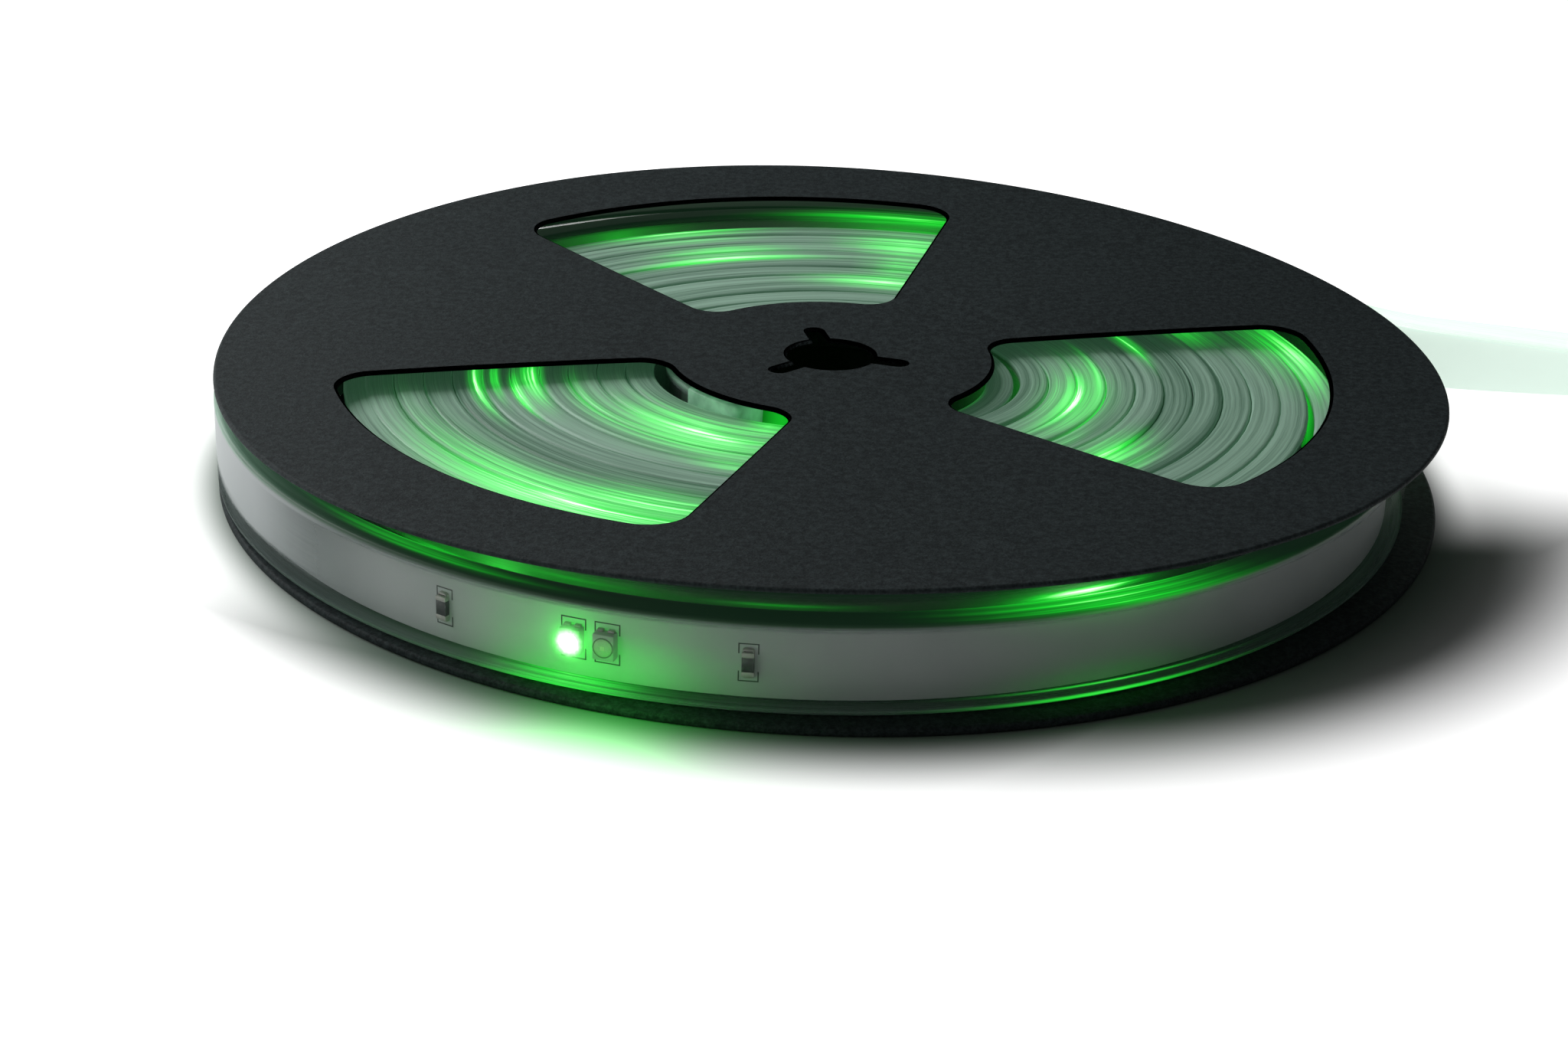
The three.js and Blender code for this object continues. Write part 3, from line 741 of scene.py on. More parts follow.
def plate_triangles(loops):
    """Points and triangles of the flat face between the loops, the loops' own points first."""
    outline = np.concatenate(loops)
    edges = []
    start = 0
    for loop in loops:
        count = len(loop)
        edges += [(start + i, start + (i + 1) % count) for i in range(count)]
        start += count
    # An even triangular grid of points fills the face
    axis = np.arange(-FLANGE_RADIUS, FLANGE_RADIUS, FLANGE_GRID)
    grid = np.stack(np.meshgrid(axis, axis * FLANGE_GRID_ROW), axis=-1)
    grid[::2, :, 0] += FLANGE_GRID / 2
    grid = grid.reshape(-1, 2)
    grid = grid[inside_plate(grid, flange_loops(EDGE_ROUND + FLANGE_GRID / 3))]
    points = [Vector(point) for point in np.concatenate([outline, grid]).tolist()]
    made = delaunay_2d_cdt(points, edges, [], 0, 1e-6)
    flat = np.array([tuple(point) for point in made[0]])
    triangles = np.array(made[2])
    middles = flat[triangles].mean(axis=1)
    return flat, triangles[inside_plate(middles, loops)]


def flange_piece(name, node, lifted):
    """A flange with rounded edges and its collar. The upper one is hollowed, dished and warped."""
    low_face = UPPER_HOLLOW if lifted else 0
    low_round = UPPER_INSIDE_ROUND if lifted else EDGE_ROUND
    high_round = UPPER_OUTSIDE_ROUND if lifted else EDGE_ROUND
    face_loops = flange_loops(EDGE_ROUND)
    edge_loops = flange_loops(0)
    flat, triangles = plate_triangles(face_loops)
    points, normals, faces = [], [], []
    # Two faces: the first looks down and the second looks up
    for z, up in ((low_face, -1), (FLANGE_THICKNESS, 1)):
        start = len(points)
        points += [(x, y, z) for x, y in flat]
        normals += [(0, 0, up)] * len(flat)
        order = triangles if up > 0 else triangles[:, ::-1]
        faces += [tuple(int(i) + start for i in triangle) for triangle in order]
    # A rounded edge's profile, from the lower face round to the upper one
    turns = [math.pi / 2 * i / ROUND_STEPS for i in range(1, ROUND_STEPS + 1)]
    profile = []
    for angle in turns:
        z = low_face + low_round * (1 - math.cos(angle))
        profile.append((math.sin(angle), z, -math.cos(angle) * EDGE_ROUND / low_round))
    for angle in reversed(turns):
        z = FLANGE_THICKNESS - high_round * (1 - math.cos(angle))
        profile.append((math.sin(angle), z, math.cos(angle) * EDGE_ROUND / high_round))
    first = 0
    for face_loop, edge_loop in zip(face_loops, edge_loops):
        count = len(face_loop)
        outward = (edge_loop - face_loop) / EDGE_ROUND
        ring_starts = [first]
        for out, z, up in profile:
            ring_starts.append(len(points))
            ring = face_loop + outward * EDGE_ROUND * out
            points += [(x, y, z) for x, y in ring]
            normals += [(ox * out, oy * out, up) for ox, oy in outward]
        ring_starts.append(len(flat) + first)
        for low, high in zip(ring_starts, ring_starts[1:]):
            for i in range(count):
                j = (i + 1) % count
                faces.append((low + i, low + j, high + j, high + i))
        first += count
    points = np.array(points, float)
    normals = np.array(normals, float)
    if lifted:
        points[:, 2] = UPPER_INNER_FACE + points[:, 2]
        rise, slope_x, slope_y = flange_rise(points[:, 0], points[:, 1])
        points[:, 2] += rise
        normals[:, 0] -= slope_x * normals[:, 2]
        normals[:, 1] -= slope_y * normals[:, 2]
    normals /= np.linalg.norm(normals, axis=1)[:, None]
    collar_points, collar_faces = collar(lifted)
    faces += [tuple(i + len(points) for i in face) for face in collar_faces]
    points = np.concatenate([points, collar_points])
    normals = np.concatenate([normals, ring_normals(collar_points)])
    make_piece(name, points, faces, [FLANGE_PLASTIC], [node], normals=normals)


def ring_solid(outline, segments):
    """A closed ring turned about the origin from an outline of (radius, z) points."""
    angles = np.linspace(0, 2 * math.pi, segments, endpoint=False)
    points = np.array([
        (radius * math.cos(angle), radius * math.sin(angle), z)
        for angle in angles for radius, z in outline])
    count = len(outline)
    faces = []
    for i in range(segments):
        following = (i + 1) % segments
        for j in range(count):
            k = (j + 1) % count
            faces.append((i * count + j, following * count + j, following * count + k, i * count + k))
    return points, faces


def rounded_rectangle(low, high, corner, steps):
    """Points round a rectangle with round corners, anticlockwise from its lower right."""
    outline = []
    centres = [
        (high[0] - corner, low[1] + corner), (high[0] - corner, high[1] - corner),
        (low[0] + corner, high[1] - corner), (low[0] + corner, low[1] + corner)]
    for quarter, (x, y) in enumerate(centres):
        for step in range(steps + 1):
            angle = math.pi / 2 * (quarter - 1 + step / steps)
            outline.append((x + corner * math.cos(angle), y + corner * math.sin(angle)))
    return outline


def ring_normals(points):
    """Normals of an upright ring: level on its two sides and mostly upright on its ends."""
    radius = about_axis(points)[0]
    middle_radius = (radius.min() + radius.max()) / 2
    middle_z = (points[:, 2].min() + points[:, 2].max()) / 2
    out = np.where(radius > middle_radius, 1, -1)
    near_face = np.minimum(radius - radius.min(), radius.max() - radius) < 1e-3
    up = np.where(points[:, 2] > middle_z, 1, -1)
    along = np.where(near_face, out, 0.3 * out)
    rise = np.where(near_face, 0, up)
    normals = np.stack([points[:, 0] / radius * along, points[:, 1] / radius * along, rise], axis=1)
    return normals / np.linalg.norm(normals, axis=1)[:, None]


def collar(lifted):
    """The ring inside a flange that the core is pushed over."""
    outer = CORE_RADIUS - CORE_WALL - SEAT_GAP
    low = FLANGE_THICKNESS - EDGE_ROUND
    high = FLANGE_THICKNESS + COLLAR_HEIGHT
    if lifted:
        low, high = UPPER_INNER_FACE - COLLAR_HEIGHT, UPPER_INNER_FACE + EDGE_ROUND
    outline = rounded_rectangle((outer - COLLAR_WALL, low), (outer, high), EDGE_ROUND, 2)
    return ring_solid(outline, RING_SEGMENTS)


def core_piece():
    low = (CORE_RADIUS - CORE_WALL, SLEEVE_BASE)
    high = (CORE_RADIUS, UPPER_INNER_FACE - SEAT_GAP)
    points, faces = ring_solid(rounded_rectangle(low, high, EDGE_ROUND, 3), RING_SEGMENTS)
    azimuth = about_axis(points)[1]
    glow = sum(strength * bell(turned_from(azimuth, middle), half_length)
               for middle, half_length, strength in CORE_GLOWS)
    make_piece("core_drum", points, faces, [CORE_PLASTIC], ["winding_core"],
               normals=ring_normals(points), attributes={"glow": glow})


flange_piece("reel_flange_lower", "lower_flange", lifted=False)
flange_piece("reel_flange_upper", "upper_flange", lifted=True)
core_piece()


def cubic_through(knots, at):
    """A smooth curve through unevenly spaced knots; each span bends with the knots on either side of it."""
    x, y = np.array(knots, float).T
    i = np.clip(np.searchsorted(x, at, side="right"), 1, len(x) - 1)
    before = np.where(i >= 2, i - 2, i)
    after = np.where(i + 1 < len(x), i + 1, i - 1)
    span = x[i] - x[i - 1]
    weight_before = span / 2 / (x[i - 1] - x[before])
    weight_after = span / 2 / (x[after] - x[i])
    p = (at - x[i - 1]) / span
    p2 = p * p
    p3 = p2 * p
    share_before = -weight_before * p3 + 2 * weight_before * p2 - weight_before * p
    share_first = (1 + weight_before) * p3 - (1.5 + 2 * weight_before) * p2 + (weight_before - 0.5) * p + 1
    share_second = -(1 + weight_after) * p3 + (1.5 + weight_after) * p2 + 0.5 * p
    share_after = weight_after * p3 - weight_after * p2
    return share_before * y[before] + share_first * y[i - 1] + share_second * y[i] + share_after * y[after]


outer_loop = [(azimuth, FLANGE_RADIUS - OUTER_LOOP_DEPTH * share) for azimuth, share in OUTER_LOOP_SHARES]
second_start = outer_loop[1][0] + FULL_TURN
second_radius = outer_loop[1][1] - PITCH - SEAT_GAP
loose_end = second_start + FULL_TURN
loose_knots = [
    *outer_loop,
    (second_start, second_radius),
    ((second_start + loose_end) / 2, (second_radius + PACKED_RADIUS) / 2),
    (loose_end, PACKED_RADIUS),
    (loose_end + FULL_TURN / 2, PACKED_RADIUS - PITCH / 2),
]
packed_space = PACKED_RADIUS - SLEEVE_THICKNESS - CORE_RADIUS - CORE_CLEARANCE
last_azimuth = loose_end + FULL_TURN * packed_space / PITCH
end_azimuth = INNER_END_AZIMUTH + FULL_TURN * math.floor((last_azimuth - INNER_END_AZIMUTH) / FULL_TURN)
packed_steps = math.floor((end_azimuth - INNER_LEAD_ANGLE - loose_end) / PACKED_STEP)
lead_azimuth = loose_end + packed_steps * PACKED_STEP


def packed_share(azimuths):
    """1 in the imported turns, with smooth ends where the loose turns and the lead inwards meet them."""
    rise = smooth_step(azimuths, loose_end, loose_end + FULL_TURN)
    fall = smooth_step(azimuths, lead_azimuth - FULL_TURN, lead_azimuth - INNER_LEAD_ANGLE)
    return rise - fall


def oval_winding(azimuths):
    """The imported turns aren't quite round: they bulge towards two sides."""
    return OVAL_WINDING * np.cos(2 * np.radians(azimuths - OVAL_AZIMUTH)) * packed_share(azimuths)


def roll_radius(azimuth):
    """Radius of the roll's outer face at each azimuth, counted on from the tail through all the turns."""
    packed = PACKED_RADIUS - PITCH * (azimuth - loose_end) / FULL_TURN
    end_radius = CORE_RADIUS + SEAT_GAP + FACE_COVER + SLEEVE_THICKNESS
    lead = smooth_step(azimuth, lead_azimuth, end_azimuth)
    wound = packed + (end_radius - packed) * lead + oval_winding(azimuth)
    return np.where(azimuth < loose_end, cubic_through(loose_knots, np.minimum(azimuth, loose_end)), wound)


def tail_points():
    """Points on the tail's outer face at even steps, on a smooth curve that ends at the roll."""
    guides = [polar(FLANGE_RADIUS + TAIL_REACH * share, azimuth) for azimuth, share in TAIL_REACH_SHARES]
    guides.append(polar(roll_radius(np.array(LOOSE_START)), LOOSE_START))
    guides = np.array([guides[0], *guides, guides[-1]])
    dense = []
    for i in range(len(guides) - 3):
        p0, p1, p2, p3 = guides[i:i + 4]
        t = np.linspace(0, 1, 60, endpoint=False)[:, None]
        v1, v2 = (p2 - p0) / 2, (p3 - p1) / 2
        cubed = 2 * p1 - 2 * p2 + v1 + v2
        squared = 3 * p2 - 3 * p1 - 2 * v1 - v2
        dense.append(cubed * t ** 3 + squared * t ** 2 + v1 * t + p1)
    dense = np.concatenate([*dense, guides[-1:]])
    lengths = np.concatenate([[0], np.cumsum(np.linalg.norm(np.diff(dense, axis=0), axis=1))])
    at = np.linspace(0, lengths[-1], math.ceil(lengths[-1] / TAIL_POINT_STEP) + 1)[:-1]
    return np.stack([np.interp(at, lengths, dense[:, k]) for k in range(2)], axis=1)


def settling(azimuths):
    """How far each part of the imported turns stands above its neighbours, as if pushed down by hand."""
    waves = sum(np.sin(2 * math.pi * azimuths / length) for length in SETTLING_WAVES) / len(SETTLING_WAVES)
    return SETTLING_HEIGHT * (1 + waves) / 2 * packed_share(azimuths)


class Strip:
    """Places along the strip: the foot of its outer face, the way along, out of that face and up."""

    def __init__(self, points, azimuths):
        count = len(points)
        nearby = np.arange(count)
        ahead = points[np.minimum(nearby + 1, count - 1)] - points[np.maximum(nearby - 1, 0)]
        along = ahead / np.linalg.norm(ahead, axis=1)[:, None]
        distance = np.linalg.norm(points, axis=1)
        lean_start = FLANGE_RADIUS + LEAN_START_REACH
        lean_share = np.clip((distance - lean_start) / (distance[0] - lean_start), 0, 1)
        lean = math.radians(TAIL_LEAN) * lean_share
        rest = (SLEEVE_THICKNESS + FACE_COVER) * np.sin(lean) + EDGE_COVER * np.cos(lean)
        lift = smooth_step(azimuths, lead_azimuth - INNER_LEAD_ANGLE, lead_azimuth)
        base = np.maximum(SLEEVE_BASE, rest) + EDGE_COVER * lift + settling(azimuths)
        self.azimuth = azimuths
        self.foot = np.column_stack([points, base])
        self.out = np.column_stack([along[:, 1] * np.cos(lean), -along[:, 0] * np.cos(lean), np.sin(lean)])
        self.up = np.column_stack([-along[:, 1] * np.sin(lean), along[:, 0] * np.sin(lean), np.cos(lean)])
        self.along = np.cross(self.up, self.out)
        self.line = self.at(RIBBON_FRONT, RIBBON_MIDDLE)
        steps = np.linalg.norm(np.diff(self.line, axis=0), axis=1)
        self.tail_share = smooth_step(distance, FLANGE_RADIUS - 3, FLANGE_RADIUS + 9) * (azimuths < 0)
        self.length = np.concatenate([[0], np.cumsum(steps)])

    def at(self, depth, height):
        return self.foot + self.out * depth + self.up * height


def build_strip():
    loose = np.arange(LOOSE_START, loose_end, LOOSE_AZIMUTH_STEP, dtype=float)
    packed = np.arange(loose_end, end_azimuth, PACKED_AZIMUTH_STEP, dtype=float)
    azimuths = np.concatenate([loose, packed, [end_azimuth]])
    tail = tail_points()
    points = np.concatenate([tail, polar(roll_radius(azimuths), azimuths)])
    return Strip(points, np.concatenate([np.full(len(tail), -1.0), azimuths]))


strip = build_strip()


def glow_over(points, height):
    """Strength of the green light in the sleeve at points of it."""
    radius, azimuth = about_axis(points)
    glow = np.zeros_like(radius)

    def spot(across, half_width, middle, half_length):
        return bell(across, half_width) * bell(turned_from(azimuth, middle), half_length)

    on_top = smooth_step(height, SLEEVE_HEIGHT - 2, SLEEVE_HEIGHT - 0.3)
    for place, middle, half_width, half_length, strength in ROLL_GLOWS:
        glow += strength * spot(radius - place, half_width, middle, half_length) * on_top
    outer = radius > PACKED_RADIUS + 1
    sloped_height = points[:, 2] + (FLANGE_RADIUS - radius) * SLOT_SLOPE
    for middle, half_length, place, half_height, strength in SLOT_GLOWS:
        glow += strength * spot(sloped_height - place, half_height, middle, half_length) * outer
    outermost = radius > FLANGE_RADIUS - OUTER_LOOP_DEPTH - SLEEVE_THICKNESS
    for middle, half_length, place, half_height, strength in MARGIN_GLOWS:
        glow += strength * spot(height - place, half_height, middle, half_length) * outermost
    return glow


def line_glow_over(points, depth):
    """Strength of the two bright lines in the outer face's lower margin."""
    radius, azimuth = about_axis(points)
    middle, half_length, strength = LINE_GLOW
    outermost = (radius > FLANGE_RADIUS - OUTER_LOOP_DEPTH - SLEEVE_ROUND) & (depth > -SLEEVE_ROUND)
    return strength * bell(turned_from(azimuth, middle), half_length) * outermost


def painted_side_light_share(points, depth):
    """How far painted light fills the sleeve's outer face where that turns away on the left: the ribbon's
    white as the light from the left shows it.
    """
    radius, azimuth = about_axis(points)
    azimuth = azimuth % FULL_TURN
    low_edge = SIDE_LIGHT_HEIGHT + (SIDE_LIGHT_FADE_END - azimuth) * SIDE_LIGHT_SLOPE
    share = smooth_step(azimuth, SIDE_LIGHT_START, SIDE_LIGHT_FULL) - smooth_step(azimuth, SIDE_LIGHT_FADE, SIDE_LIGHT_FADE_END)
    outermost = (radius > FLANGE_RADIUS - OUTER_LOOP_DEPTH) & (depth > -SLEEVE_ROUND)
    return share * smooth_step(points[:, 2], low_edge - 0.5, low_edge + 0.3) * outermost


def top_shade(points, tail):
    """How far the outer turns' tops lie in the flange's shade."""
    radius, azimuth = about_axis(points)
    outer = smooth_step(radius, PACKED_RADIUS + 1, PACKED_RADIUS + 6)
    return outer * (1 - tail) * (1 - bell(turned_from(azimuth, OPEN_SIDE), OPEN_HALF_LENGTH))


def sweep(places, section):
    """Points, side faces and stored values of a section swept along some of the strip's places."""
    section = np.array(section, float)
    count = len(section)
    foot, out, up = strip.foot[places], strip.out[places], strip.up[places]
    depth, height = section[:, 0], section[:, 1]
    points = foot[:, None] + out[:, None] * depth[None, :, None] + up[:, None] * height[None, :, None]
    rings = len(foot)
    faces = strip_faces(rings, count)
    grids = {
        "along": np.repeat(strip.length[places], count),
        "depth": np.tile(depth, rings),
        "height": np.tile(height, rings),
        "tail": np.repeat(strip.tail_share[places], count),
    }
    return points.reshape(-1, 3), faces, grids


def end_faces(rings, count):
    """The two flat ends of a sweep."""
    first = tuple(range(count))
    last = tuple((rings - 1) * count + i for i in reversed(range(count)))
    return [first[::-1], last[::-1]]


def spread_section(low, high, corner, spans):
    """A rectangle with round corners, its four sides split into spans: right, top, left and bottom."""
    outline = rounded_rectangle(low, high, corner, 3)
    per_corner = len(outline) // 4
    section = []
    for quarter, span in enumerate(spans):
        section += outline[quarter * per_corner:(quarter + 1) * per_corner]
        start = np.array(section[-1])
        end = np.array(outline[((quarter + 1) * per_corner) % len(outline)])
        section += [tuple(start + (end - start) * i / span) for i in range(1, span)]
    return section


everywhere = np.arange(len(strip.foot))
between_ends = everywhere[1:-1]


def sleeve_piece():
    low, high = (-SLEEVE_THICKNESS - SLEEVE_SWELL, 0), (SLEEVE_SWELL, SLEEVE_HEIGHT)
    section = spread_section(low, high, SLEEVE_ROUND, (14, 8, 2, 2))
    points, faces, grids = sweep(everywhere, section)
    faces += end_faces(len(everywhere), len(section))
    outside = len(faces)
    front, back = -SLEEVE_FRONT_WALL, -SLEEVE_THICKNESS + SLEEVE_BACK_WALL
    pocket = [(front, POCKET_LOW), (front, POCKET_HIGH), (back, POCKET_HIGH), (back, POCKET_LOW)]
    inner_points, inner_faces, inner_grids = sweep(between_ends, pocket)
    inner_faces += end_faces(len(between_ends), len(pocket))
    faces += [tuple(i + len(points) for i in reversed(face)) for face in inner_faces]
    grids = {label: np.concatenate([grids[label], inner_grids[label]]) for label in grids}
    points = np.concatenate([points, inner_points])
    grids["glow"] = glow_over(points, grids["height"])
    grids["lower_glow"] = line_glow_over(points, grids["depth"])
    # Painted light on the face's left side
    grids["painted_side_light"] = painted_side_light_share(points, grids["depth"])
    grids["shaded"] = top_shade(points, grids["tail"])
    materials = [0] * outside + [1] * (len(faces) - outside)
    make_piece("sleeve_wound", points, faces, [SILICONE, POCKET], ["silicone_sleeve"],
               face_materials=materials, attributes=grids)


sleeve_piece()


def cluster_lengths():
    """Lengths along the ribbon of the clusters' lit diodes, from the third one, a node of its own."""
    middle = node_middle("led_3a")
    anchor = length_near(middle)
    first = anchor - CLUSTER_PITCH * math.floor((anchor - CLUSTER_MARGIN) / CLUSTER_PITCH)
    return np.arange(first, strip.length[-1] - CLUSTER_MARGIN, CLUSTER_PITCH)


def node_middle(node):
    low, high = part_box(node)
    return np.array((low + high) / 2) / MM - REEL_AXIS


def length_near(point):
    """Length along the ribbon of the place nearest to a point."""
    i = int(np.argmin(np.linalg.norm(strip.line - point, axis=1)))
    return strip.length[i] + float(np.dot(point - strip.line[i], strip.along[i]))


def ribbon_frame(length):
    """A frame on the ribbon's front face: X along the ribbon, Y up, Z out of the face."""
    def between(values):
        return np.array([np.interp(length, strip.length, values[:, k]) for k in range(3)])

    place = between(strip.line)
    along = between(strip.along)
    along /= np.linalg.norm(along)
    up = between(strip.up)
    up -= along * np.dot(up, along)
    up /= np.linalg.norm(up)
    return place, along, up, np.cross(along, up)


def in_frame(local, length):
    place, along, up, out = ribbon_frame(length)
    local = np.asarray(local, float)
    return place + local[:, :1] * along + local[:, 1:2] * up + local[:, 2:3] * out


clusters = cluster_lengths()
# Length along the ribbon up to where another turn lies over its front
open_length = float(np.interp(LOOSE_START + FULL_TURN, strip.azimuth, strip.length))


def ribbon_piece():
    low, high = (RIBBON_BACK, RIBBON_LOW), (RIBBON_FRONT, RIBBON_LOW + RIBBON_WIDTH)
    section = spread_section(low, high, RIBBON_ROUND, (4, 1, 4, 1))
    points, faces, grids = sweep(between_ends, section)
    faces += end_faces(len(between_ends), len(section))
    look = ribbon_material(float(clusters[0]))
    make_piece("ribbon_strip", points, faces, [look], ["circuit_ribbon"], attributes=grids)


ribbon_piece()


def circle(radius, z, segments):
    angles = [2 * math.pi * i / segments for i in range(segments)]
    return [(radius * math.cos(angle), radius * math.sin(angle), z) for angle in angles]


class Shape:
    """Points and faces of several closed forms, each in one of a piece's materials."""

    def __init__(self):
        self.points, self.faces, self.looks, self.haze = [], [], [], []

    def add(self, points, faces, look):
        start = len(self.points)
        self.points += [tuple(point) for point in points]
        self.faces += [tuple(i + start for i in face) for face in faces]
        self.looks += [look] * len(faces)

    def block(self, low, high, corner, look, steps=2):
        """A block whose upright edges and top edges are rounded."""
        inset = corner * 0.6
        rings = [(low[2], 0), (high[2] - inset, 0), (high[2] - inset * 0.3, inset * 0.3), (high[2], inset)]
        points = []
        for z, shrink in rings:
            near = (low[0] + shrink, low[1] + shrink)
            far = (high[0] - shrink, high[1] - shrink)
            points += [(x, y, z) for x, y in rounded_rectangle(near, far, corner, steps)]
        count = len(points) // len(rings)
        faces = strip_faces(len(rings), count)
        faces.append(tuple(reversed(range(count))))
        faces.append(tuple(range((len(rings) - 1) * count, len(rings) * count)))
        self.add(points, faces, look)

    def dome(self, radius, low, height, look, segments=LENS_SEGMENTS, rings=4):
        """A low round dome on an upright foot."""
        points = circle(radius, low, segments)
        for ring in range(rings):
            angle = math.pi / 2 * ring / rings
            z = low + 0.1 + (height - 0.1) * math.sin(angle)
            points += circle(radius * math.cos(angle), z, segments)
        points.append((0, 0, low + height))
        faces = strip_faces(rings + 1, segments)
        top = len(points) - 1
        last = rings * segments
        faces += [(last + i, last + (i + 1) % segments, top) for i in range(segments)]
        faces.append(tuple(reversed(range(segments))))
        self.add(points, faces, look)

    def collar(self, radius, width, low, height, look):
        """A flat ring."""
        inner, high = radius - width, low + height
        outline = [(inner, low), (radius, low), (radius, high), (inner, high)]
        points, faces = ring_solid(outline, LENS_SEGMENTS)
        self.add(points, faces, look)


# Places in the lists of looks
BODY_LOOK, LENS_LOOK, FEET_LOOK, DIE_GLINT_LOOK, RIM_LOOK, HALO_LOOK = range(6)
CHIP_LOOK, END_LOOK = range(2)


def diode_shape():
    """Housing, lens and its rim, and four solder feet."""
    shape = Shape()
    x, y = DIODE_LENGTH / 2, DIODE_WIDTH / 2
    foot = DIODE_HEIGHT - 0.05
    shape.block((-x, -y, -SEAT_GAP), (x, y, DIODE_HEIGHT), 0.18, BODY_LOOK)
    shape.collar(LENS_RADIUS + LENS_RIM_WIDTH, LENS_RIM_WIDTH, foot, 0.12, RIM_LOOK)
    shape.dome(LENS_RADIUS, foot, LENS_HEIGHT + 0.05, LENS_LOOK)
    for side_x in (-FOOT_PLACE, FOOT_PLACE):
        for side_y in (-y, y):
            near = (side_x - FOOT_HALF_LENGTH, side_y - FOOT_HALF_WIDTH, -SEAT_GAP)
            far = (side_x + FOOT_HALF_LENGTH, side_y + FOOT_HALF_WIDTH, FOOT_HEIGHT)
            shape.block(near, far, 0.1, FEET_LOOK)
    return shape


def lit_diode_shape():
    """The diode with its haze, a level disc of rings in front of the lens."""
    shape = diode_shape()
    shares = [1 - ring / HALO_RINGS for ring in range(1, HALO_RINGS + 1)]
    points = [(0, 0, HALO_STAND)]
    for share in shares:
        points += circle(HALO_RADIUS * (1 - share), HALO_STAND, HALO_SEGMENTS)
    faces = [(0, 1 + i, 1 + (i + 1) % HALO_SEGMENTS) for i in range(HALO_SEGMENTS)]
    faces += strip_faces(HALO_RINGS, HALO_SEGMENTS, start=1)
    haze = [share for share in shares for i in range(HALO_SEGMENTS)]
    shape.haze = [0.0] * len(shape.points) + [1.0] + haze
    shape.add(points, faces, HALO_LOOK)
    return shape


def unlit_diode_shape():
    shape = diode_shape()
    # A pale die on the lens: a painted glint
    top = DIODE_HEIGHT + LENS_HEIGHT - 0.06
    near = (-DIE_HALF_SIZE, -DIE_HALF_SIZE, top)
    far = (DIE_HALF_SIZE, DIE_HALF_SIZE, top + 0.08)
    shape.block(near, far, 0.05, DIE_GLINT_LOOK)
    return shape


def resistor_shape():
    """A chip with tinned ends in rounded solder."""
    shape = Shape()
    x, y = RESISTOR_WIDTH / 2, RESISTOR_LENGTH / 2
    reach = y - RESISTOR_END * 0.6
    shape.block((-x + 0.04, -reach, -SEAT_GAP), (x - 0.04, reach, RESISTOR_HEIGHT), 0.08, CHIP_LOOK)
    for side in (-1, 1):
        low, high = sorted((side * (y - RESISTOR_END), side * (y + 0.02)))
        shape.block((-x, low, -SEAT_GAP), (x, high, RESISTOR_HEIGHT + 0.04), 0.14, END_LOOK)
        low, high = sorted((side * (y - 0.5), side * (y + 0.42)))
        shape.block((-x + 0.02, low, -SEAT_GAP), (x - 0.02, high, 0.26), 0.42, END_LOOK, steps=4)
    return shape


LED_LOOKS = [HOUSING, LIT_LENS, SOLDER, DIE_GLINT, LENS_RIM, HALO]
UNLIT_LOOKS = [HOUSING, UNLIT_LENS, SOLDER, DIE_GLINT, LENS_RIM]
RESISTOR_LOOKS = [RESISTOR_BODY, SOLDER]
KINDS = {
    "led_a": (lit_diode_shape(), LED_LOOKS, "led_lit"),
    "led_b": (unlit_diode_shape(), UNLIT_LOOKS, "led_off"),
    "resistor_a": (resistor_shape(), RESISTOR_LOOKS, "resistor"),
    "resistor_b": (resistor_shape(), RESISTOR_LOOKS, "resistor"),
}
OFFSETS = {
    "resistor_a": -RESISTOR_BEFORE, "led_a": 0,
    "led_b": DIODE_PAIR_PITCH, "resistor_b": RESISTOR_AFTER,
}
DROPS = {"resistor_a": RESISTOR_DROP, "led_a": 0, "led_b": 0, "resistor_b": RESISTOR_DROP}


def component_piece(name, kind, lengths, node_names):
    """One piece with a component at each of some lengths along the ribbon."""
    shape, looks, slot = KINDS[kind]
    local = np.array(shape.points) + (0, -DROPS[kind], SEAT_GAP)
    points = np.concatenate([in_frame(local, length) for length in lengths])
    starts = [copy * len(local) for copy in range(len(lengths))]
    faces = [tuple(i + start for i in face) for start in starts for face in shape.faces]
    attributes = {"haze": shape.haze * len(lengths)} if shape.haze else {}
    piece = make_piece(name, points, faces, looks, node_names,
                       face_materials=shape.looks * len(lengths), attributes=attributes)
    piece.data.set_sharp_from_angle(angle=math.radians(SHARP_ANGLE))


def add_components():
    for kind, offset in OFFSETS.items():
        word, letter = kind.split("_")
        packed = []
        for number, middle in enumerate(clusters, start=1):
            node = f"{word}_{number}{letter}"
            length = float(middle + offset)
            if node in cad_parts:
                length = length_near(node_middle(node))
                component_piece(f"{word}_fine_{number}{letter}", kind, [length], [node])
            elif length < strip.length[-1] - CLUSTER_MARGIN / 2:
                packed.append(length)
        component_piece(f"{word}_packed_{letter}", kind, packed, [])


add_components()


